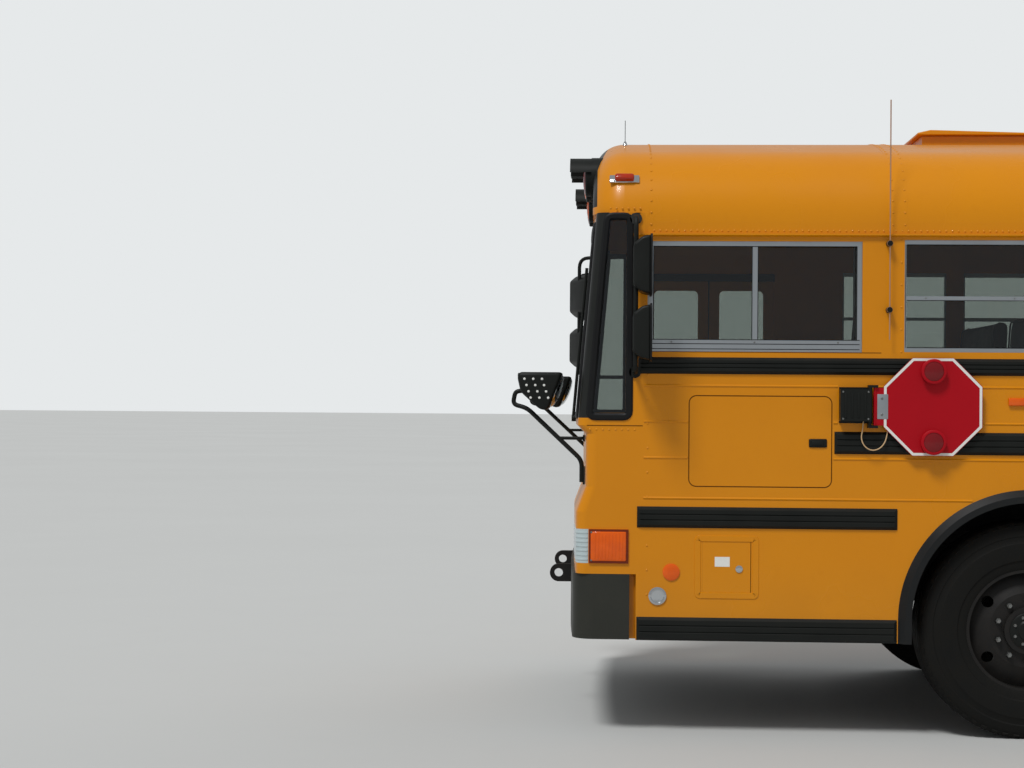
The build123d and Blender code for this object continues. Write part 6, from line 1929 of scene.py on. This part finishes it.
@dataclass
class Seats:
    """Benches and the driver's seat with padded cushions and backs, sizes in metres."""

    back_x: float = -0.150
    rows: int = 11
    aisle: float = 0.190
    wall: float = 1.172
    legs: Flat = (0.045, 0.345)
    bevel: float = 0.024
    cell: float = 0.028
    most: float = 0.014
    pressure: float = 4.0
    frames: int = 20

    def build(self) -> None:
        """Makes each padded form once and copies it to every seat."""
        length = self.wall - self.aisle
        cushion = self._pad("cushion", (0.410, length - 0.006, 0.120))
        back = self._pad("back", (0.085, length - 0.006, 0.610))
        tubes = Piece("bench_frames", Kit.TUBE)
        piping = Piece("bench_piping", Kit.PIPING)
        for s, letter in ((1, "l"), (-1, "r")):
            for row in range(self.rows):
                if s > 0 and row == EMERGENCY_BAY:
                    continue
                x, y = st(self.back_x - WINDOW_PITCH * row), s * (self.aisle + self.wall) / 2
                seat = Matrix.Translation((x + 0.215, y, 1.352))
                self._copy(cushion, f"cushion_{row}_{letter}", seat)
                self._piped(piping, seat @ Matrix.Rotation(-pi / 2, 4, "Y"), 0.058, 0.185, length)
                place = Matrix.Translation((x + 0.022, y, 1.708)) @ Matrix.Rotation(-0.066, 4, "Y")
                self._copy(back, f"back_{row}_{letter}", place)
                self._piped(piping, place, 0.041, 0.285, length)
                self._legs(tubes, s, x)
        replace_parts(tubes.done(), "bench_seats")
        piping.done()
        driver = self._pad("driver", (0.460, 0.490, 0.094))
        support = self._pad("support", (0.084, 0.480, 0.640))
        self._copy(driver, "driver_cushion", Matrix.Translation((st(0.945), 0.630, 1.432)))
        place = Matrix.Translation((st(0.712), 0.630, 1.800)) @ Matrix.Rotation(-0.107, 4, "Y")
        self._copy(support, "driver_back", place)
        for mesh in (cushion, back, driver, support):
            bpy.data.meshes.remove(mesh)

    def _legs(self, tubes: Piece, s: int, x: float) -> None:
        """Adds one bench's two legs by the aisle and the rail under its cushion.

        Args:
            tubes: what they are added to.
            s: 1 on the left and -1 on the right.
            x: the X of the bench's back.
        """
        leg = s * (self.aisle + 0.075)
        for offset in self.legs:
            near = (x + offset - 0.015, leg - 0.015, FLOOR_Z)
            tubes.box(near, (x + offset + 0.015, leg + 0.015, 1.300), 0.004)
        inner, outer = s * (self.aisle + 0.03), s * (self.wall - 0.02)
        tubes.box((x + 0.010, inner, 1.272), (x + 0.40, outer, 1.292), 0.004)

    @staticmethod
    def _piped(piece: Piece, place: Matrix, out: float, tall: float, length: float) -> None:
        """Lays a cord round the face of a pad.

        Args:
            piece: what the cord is added to.
            place: the pad's place, whose X looks out of the face.
            out: how far out the cord lies.
            tall: half of the loop's height.
            length: the pad's length.
        """
        wide = length / 2 - 0.020
        ring = rounded((-wide, -tall), (wide, tall), 0.030, 3, 1.0)
        line = [tuple(place @ Vector((out, a, b))) for a, b in ring]
        piece.sweep(circle(0.005, 6), line, tuple(place.to_3x3() @ Vector((1, 0, 0))), closed=True)

    def _pad(self, name: str, size: Point) -> bpy.types.Mesh:
        """Makes a closed padded form, whose cover a short cloth simulation puffs out.

        Args:
            name: what the form is for.
            size: the size of the box that it fills.

        Returns:
            The form as a mesh round its middle.
        """
        part = bmesh.new()
        bmesh.ops.create_cube(part, size=1.0, matrix=Matrix.Diagonal((*(0.97 * v for v in size), 1.0)))
        round_edges(part, self.bevel, 3)
        work = add_object(f"{name}_form", finished(f"{name}_form", part))
        remesh = work.modifiers.new("cells", "REMESH")
        remesh.mode = "VOXEL"
        remesh.voxel_size = self.cell
        work.data = self._evaluated(work)
        work.modifiers.clear()
        self._puff(work)
        pad = work.data
        pad.name = f"{name}_pad"
        self._limit(pad, size)
        bpy.data.objects.remove(work)
        for polygon in pad.polygons:
            polygon.use_smooth = True
        return pad

    def _puff(self, work: bpy.types.Object) -> None:
        """Blows the cover out from inside, and caps how far each point of it may go.

        Args:
            work: the form, whose mesh is replaced.
        """
        rest = [vert.co.copy() for vert in work.data.vertices]
        cover = work.modifiers.new("cover", "CLOTH").settings
        cover.use_pressure = True
        cover.uniform_pressure_force = self.pressure
        cover.effector_weights.gravity = 0.0
        for number in range(1, self.frames + 1):
            bpy.context.scene.frame_set(number)
        puffed = self._evaluated(work)
        bpy.context.scene.frame_set(1)
        for vert, start in zip(puffed.vertices, rest):
            move = vert.co - start
            vert.co = start + move * min(1.0, self.most / max(move.length, 1e-6))
        work.data = puffed

    @staticmethod
    def _evaluated(work: bpy.types.Object) -> bpy.types.Mesh:
        """The mesh of an object as its modifiers leave it."""
        return bpy.data.meshes.new_from_object(work.evaluated_get(bpy.context.evaluated_depsgraph_get()))

    @staticmethod
    def _limit(mesh: bpy.types.Mesh, size: Point) -> None:
        """Scales a form so that it fills its CAD solid's box and crowns inside it.

        Args:
            mesh: the form.
            size: the size of the box.
        """
        for axis in range(3):
            reach = max(abs(v.co[axis]) for v in mesh.vertices)
            for vert in mesh.vertices:
                vert.co[axis] *= size[axis] / 2 / reach

    @staticmethod
    def _copy(mesh: bpy.types.Mesh, name: str, place: Matrix) -> None:
        """Puts a copy of a form at a place, as a piece of its own.

        Args:
            mesh: the form.
            name: the piece's name.
            place: where it goes.
        """
        own = mesh.copy()
        own.transform(place)
        own.materials.clear()
        place_mesh(name, own, Kit.VINYL, "coach")


@dataclass
class Cabin:
    """What shows through the front glass: wheel, dash, rails and seat stand, sizes in metres."""

    head: Point = (1.420, 0.630, 1.600)
    column_foot: Point = (1.720, 0.630, 1.300)
    column_r: float = 0.030
    wheel_r: float = 0.225
    rim_r: float = 0.014
    rail_x: float = 0.60
    rail_y: Flat = (0.30, -0.52)

    def build(self) -> None:
        """Adds the driver's place and the grab rails."""
        self._wheel()
        board = Piece("dash_board", Kit.DASH)
        board.box((st(1.722), -0.518, 1.0), (st(2.005), 1.098, 1.436), 0.030, 4)
        board.box((st(1.60), 0.36, 1.25), (st(1.75), 0.92, 1.44), 0.035, 4)
        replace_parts(board.done(), "dashboard")
        rails = Piece("grab_rails", Kit.TUBE)
        x = st(self.rail_x)
        for y in self.rail_y:
            rails.pipe([(x, y, FLOOR_Z), (x, y, 2.72)], (), 0.014)
        rails.pipe([(x, self.rail_y[0], 1.85), (x, 1.10, 1.85)], (), 0.014)
        rails.done()
        stand = Piece("driver_seat_stand", Kit.CHASSIS)
        stand.box((st(0.80), 0.48, 0.981), (st(1.08), 0.78, 1.384), 0.02, 3)
        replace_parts(stand.done(), "driver_seat")

    def _wheel(self) -> None:
        """Makes the steering wheel with its hub, spokes and column."""
        wheel = Piece("steering_wheel", Kit.DASH)
        at = facing((st(self.head[0]), self.head[1], self.head[2]), (-1.0, 0.0, 1.0))
        r = self.rim_r
        turns = [2 * pi * i / 12 for i in range(13)]
        wheel.lathe([(self.wheel_r - r + r * cos(t), 0.006 + r * sin(t)) for t in turns], at, 48)
        wheel.lathe([(0.055, -0.02), (0.055, 0.012), (0.040, 0.022), (0.0, 0.024)], at, 28)
        for turn in (0.0, 2.2, -2.2):
            spoke = at @ Matrix.Rotation(turn, 4, "Z") @ Matrix.Translation((0.120, 0, 0.002))
            wheel.block(spoke, (0.17, 0.030, 0.010), 0.004)
        x, y, z = self.column_foot
        wheel.rod((st(x), y, z), (st(1.430), y, 1.590), self.column_r, 20)
        wheel.done()


# Doors, hatches and the rest


@dataclass
class Fittings:
    """Frames, latches, locks, seams and small parts of doors and panels, sizes in metres."""

    apron_in: float = 0.560
    apron_low: float = 0.475
    whip: Point = (1.900, 0.600, 2.842)
    antenna_x: float = 0.667
    stand_off_z: Flat = (2.010, 2.320)

    def build(self) -> None:
        """Adds every small fitting."""
        self._access()
        self._service()
        self._sockets()
        self._rear()
        self._panel()
        self._whip()
        self._entrance()
        self._aprons()

    def _aprons(self) -> None:
        """Rubber splash aprons that hang from the front and rear of each wheelhouse."""
        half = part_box("wheelhouses")[1].x - AXLE_X
        apron = Piece("splash_aprons", Kit.ARCH)
        for x in (AXLE_X, REAR_AXLE_X):
            for way in (-1, 1):
                edge = x + way * (half - 0.002)
                for s in (1, -1):
                    low = (edge, s * self.apron_in, self.apron_low)
                    apron.box(low, (edge - way * 0.006, s * 1.168, 0.990), 0.002)
        apron.done()

    @staticmethod
    def _entrance() -> None:
        """Rubber along the free edge of the front leaf and behind the tops of both leaves."""
        seal = Piece("entrance_edge_seal", Kit.GASKET)
        seal.box((st(1.380), -1.2195, 0.334), (st(1.390), -1.1785, 2.306), 0.002)
        seal.done("entrance_leaf_front")
        head = Piece("entrance_head_seal", Kit.GASKET)
        head.box((st(0.996), -1.1745, 2.285), (st(1.774), -1.1660, 2.330), 0.002)
        head.done()

    @staticmethod
    def _access() -> None:
        """The access door's latch and a dark strip of painted shade in the gap round it."""
        latch = Piece("access_latch", Kit.BLACK)
        latch.box((st(0.950), HALF_WIDTH - 0.002, 1.364), (st(1.034), HALF_WIDTH + 0.007, 1.404), 0.006, 3)
        latch.box((st(0.966), HALF_WIDTH + 0.006, 1.374), (st(1.022), HALF_WIDTH + 0.012, 1.394), 0.003, 2)
        latch.done("access_lid")
        # Painted shade: a thin dark ring laid in the gap round the door
        edge = Piece("access_gap_shade", Kit.GAP_SHADE)
        ring = rounded((st(0.9275), 1.1765), (st(1.5945), 1.6035), 0.034, 5, 0.3)
        line = [(x, HALF_WIDTH - 0.001, z) for x, z in ring]
        section = [(-0.0022, -0.002), (-0.0022, 0.0016), (0.0022, 0.0016), (0.0022, -0.002)]
        edge.sweep(section, line, (0, 1, 0), True)
        edge.done()

    @staticmethod
    def _service() -> None:
        """The service door's raised frame, round lock and blank sticker."""
        ring = rounded((st(1.278), 0.664), (st(1.550), 0.932), 0.010, 4, 0.3)
        line = [(x, HALF_WIDTH, z) for x, z in ring]
        trim = Piece("service_frame", Kit.ENAMEL)
        section = [(-0.015, -0.001), (-0.013, 0.003), (0.013, 0.003), (0.015, -0.001)]
        trim.sweep(section, line, (0, 1, 0), True)
        trim.done()
        lock = Piece("service_lock", Kit.CHROME)
        dish = [(0.017, 0.0), (0.017, 0.004), (0.013, 0.006), (0.004, 0.006), (0.004, 0.004), (0.0, 0.004)]
        lock.lathe(dish, facing((st(1.356), HALF_WIDTH, 0.790), (0, 1, 0)), 24)
        lock.done("service_lid")
        blank = Piece("service_blank_sticker", Kit.WHITE)
        blank.box((st(1.400), HALF_WIDTH, 0.800), (st(1.470), HALF_WIDTH + 0.0006, 0.846))
        blank.done("service_lid")

    @staticmethod
    def _sockets() -> None:
        """The round receptacle low on the left and a round reflector on each side."""
        socket = Piece("receptacle", Kit.CHROME)
        cup = [(0.040, 0.0), (0.042, 0.006), (0.034, 0.009), (0.028, 0.004), (0.0, 0.002)]
        socket.lathe(cup, facing((st(1.738), HALF_WIDTH, 0.659), (0, 1, 0)), 32)
        socket.done()
        # The amber finish's faint glow is painted light on these reflectors, which hold no lamp
        reflector = Piece("side_reflectors", Kit.AMBER)
        shape = [(0.040, 0.0), (0.040, 0.005), (0.034, 0.008), (0.0, 0.009)]
        for s in (1, -1):
            reflector.lathe(shape, facing((st(1.674), s * HALF_WIDTH, 0.772), (0, s, 0)), 32)
        reflector.done()

    @staticmethod
    def _rear() -> None:
        """The engine door's hinge rod and its two latches."""
        x = REAR_FACE_X
        hinge = Piece("engine_door_hinge", Kit.BLACK)
        hinge.rod((x - 0.006, -0.62, 1.452), (x - 0.006, 0.62, 1.452), 0.008, 16)
        hinge.done()
        latch = Piece("engine_door_latches", Kit.BLACK)
        for y in (-0.45, 0.45):
            latch.box((x - 0.002, y - 0.045, 0.812), (x - 0.014, y + 0.045, 0.846), 0.005, 3)
        latch.done("engine_lid")

    @staticmethod
    def _panel() -> None:
        """The blank diamond plate on the roof's side behind the first window."""
        plate = Piece("blank_diamond_plate", Kit.ENAMEL)
        section = RoofSection()
        (y, z), (oy, oz) = section.at(1, section.wall + 0.060)
        at = facing((st(-0.11), y, z), (0, oy, oz))
        plate.block(at @ Matrix.Rotation(pi / 4, 4, "Z"), (0.115, 0.115, 0.004), 0.0012)
        plate.done()

    def _whip(self) -> None:
        """The short whip on the front cap and the black collars of the long antenna."""
        x, y, z = self.whip
        base = Piece("cap_whip_base", Kit.CHROME)
        foot = [(0.022, -0.01), (0.022, 0.012), (0.012, 0.022), (0.005, 0.040), (0.0, 0.041)]
        base.lathe(foot, facing((st(x), y, z), (0, 0.1, 1)), 24)
        base.done()
        whip = Piece("cap_whip", Kit.BLACK)
        whip.rod((st(x), y, 2.870), (st(x), y, 2.988), 0.0016, 8)
        whip.done()
        collars = Piece("antenna_collars", Kit.BLACK)
        for z in self.stand_off_z:
            collars.rod((st(self.antenna_x), 1.2195, z), (st(self.antenna_x), 1.266, z), 0.0125, 20)
        collars.done()


@dataclass
class Hatches:
    """Low wedge lids over both roof openings, sizes in metres."""

    edge: float = 0.004
    lip: float = 0.012
    nose: float = 0.070
    fall: float = 0.010

    def build(self) -> None:
        """Makes a lid on each hatch's own hinge, in place of the frame's plain one."""
        for word in ("front", "rear"):
            low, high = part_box(f"roof_hatch_{word}")
            lid = Piece(f"{word}_hatch_lid", Kit.ENAMEL)
            base, y = low.z + 0.003, low.y + self.edge
            side_view = [
                (low.x + self.edge, y, base),
                (high.x - self.edge, y, base),
                (high.x - self.edge, y, base + self.lip),
                (high.x - self.nose, y, high.z - self.fall),
                (low.x + self.edge, y, base + 0.010),
            ]
            lid.prism(side_view, (0.0, high.y - low.y - 2 * self.edge, 0.0), 0.005, 3)
            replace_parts(lid.done(f"hatch_{word}"), f"roof_hatch_{word}")


def main() -> None:
    """Builds the camera and the cord first, then the rest."""
    logging.basicConfig(level=logging.INFO)
    Camera().build()
    SignalCable().build()
    Studio().build()
    kinds = (FrameFinishes, Skin, Glazing, Wheels, StopArm, Lamps, Mirrors, Seats, Cabin, Fittings, Hatches)
    for kind in kinds:
        LOG.info("building %s", kind.__name__)
        kind().build()


if __name__ == "__main__":
    main()
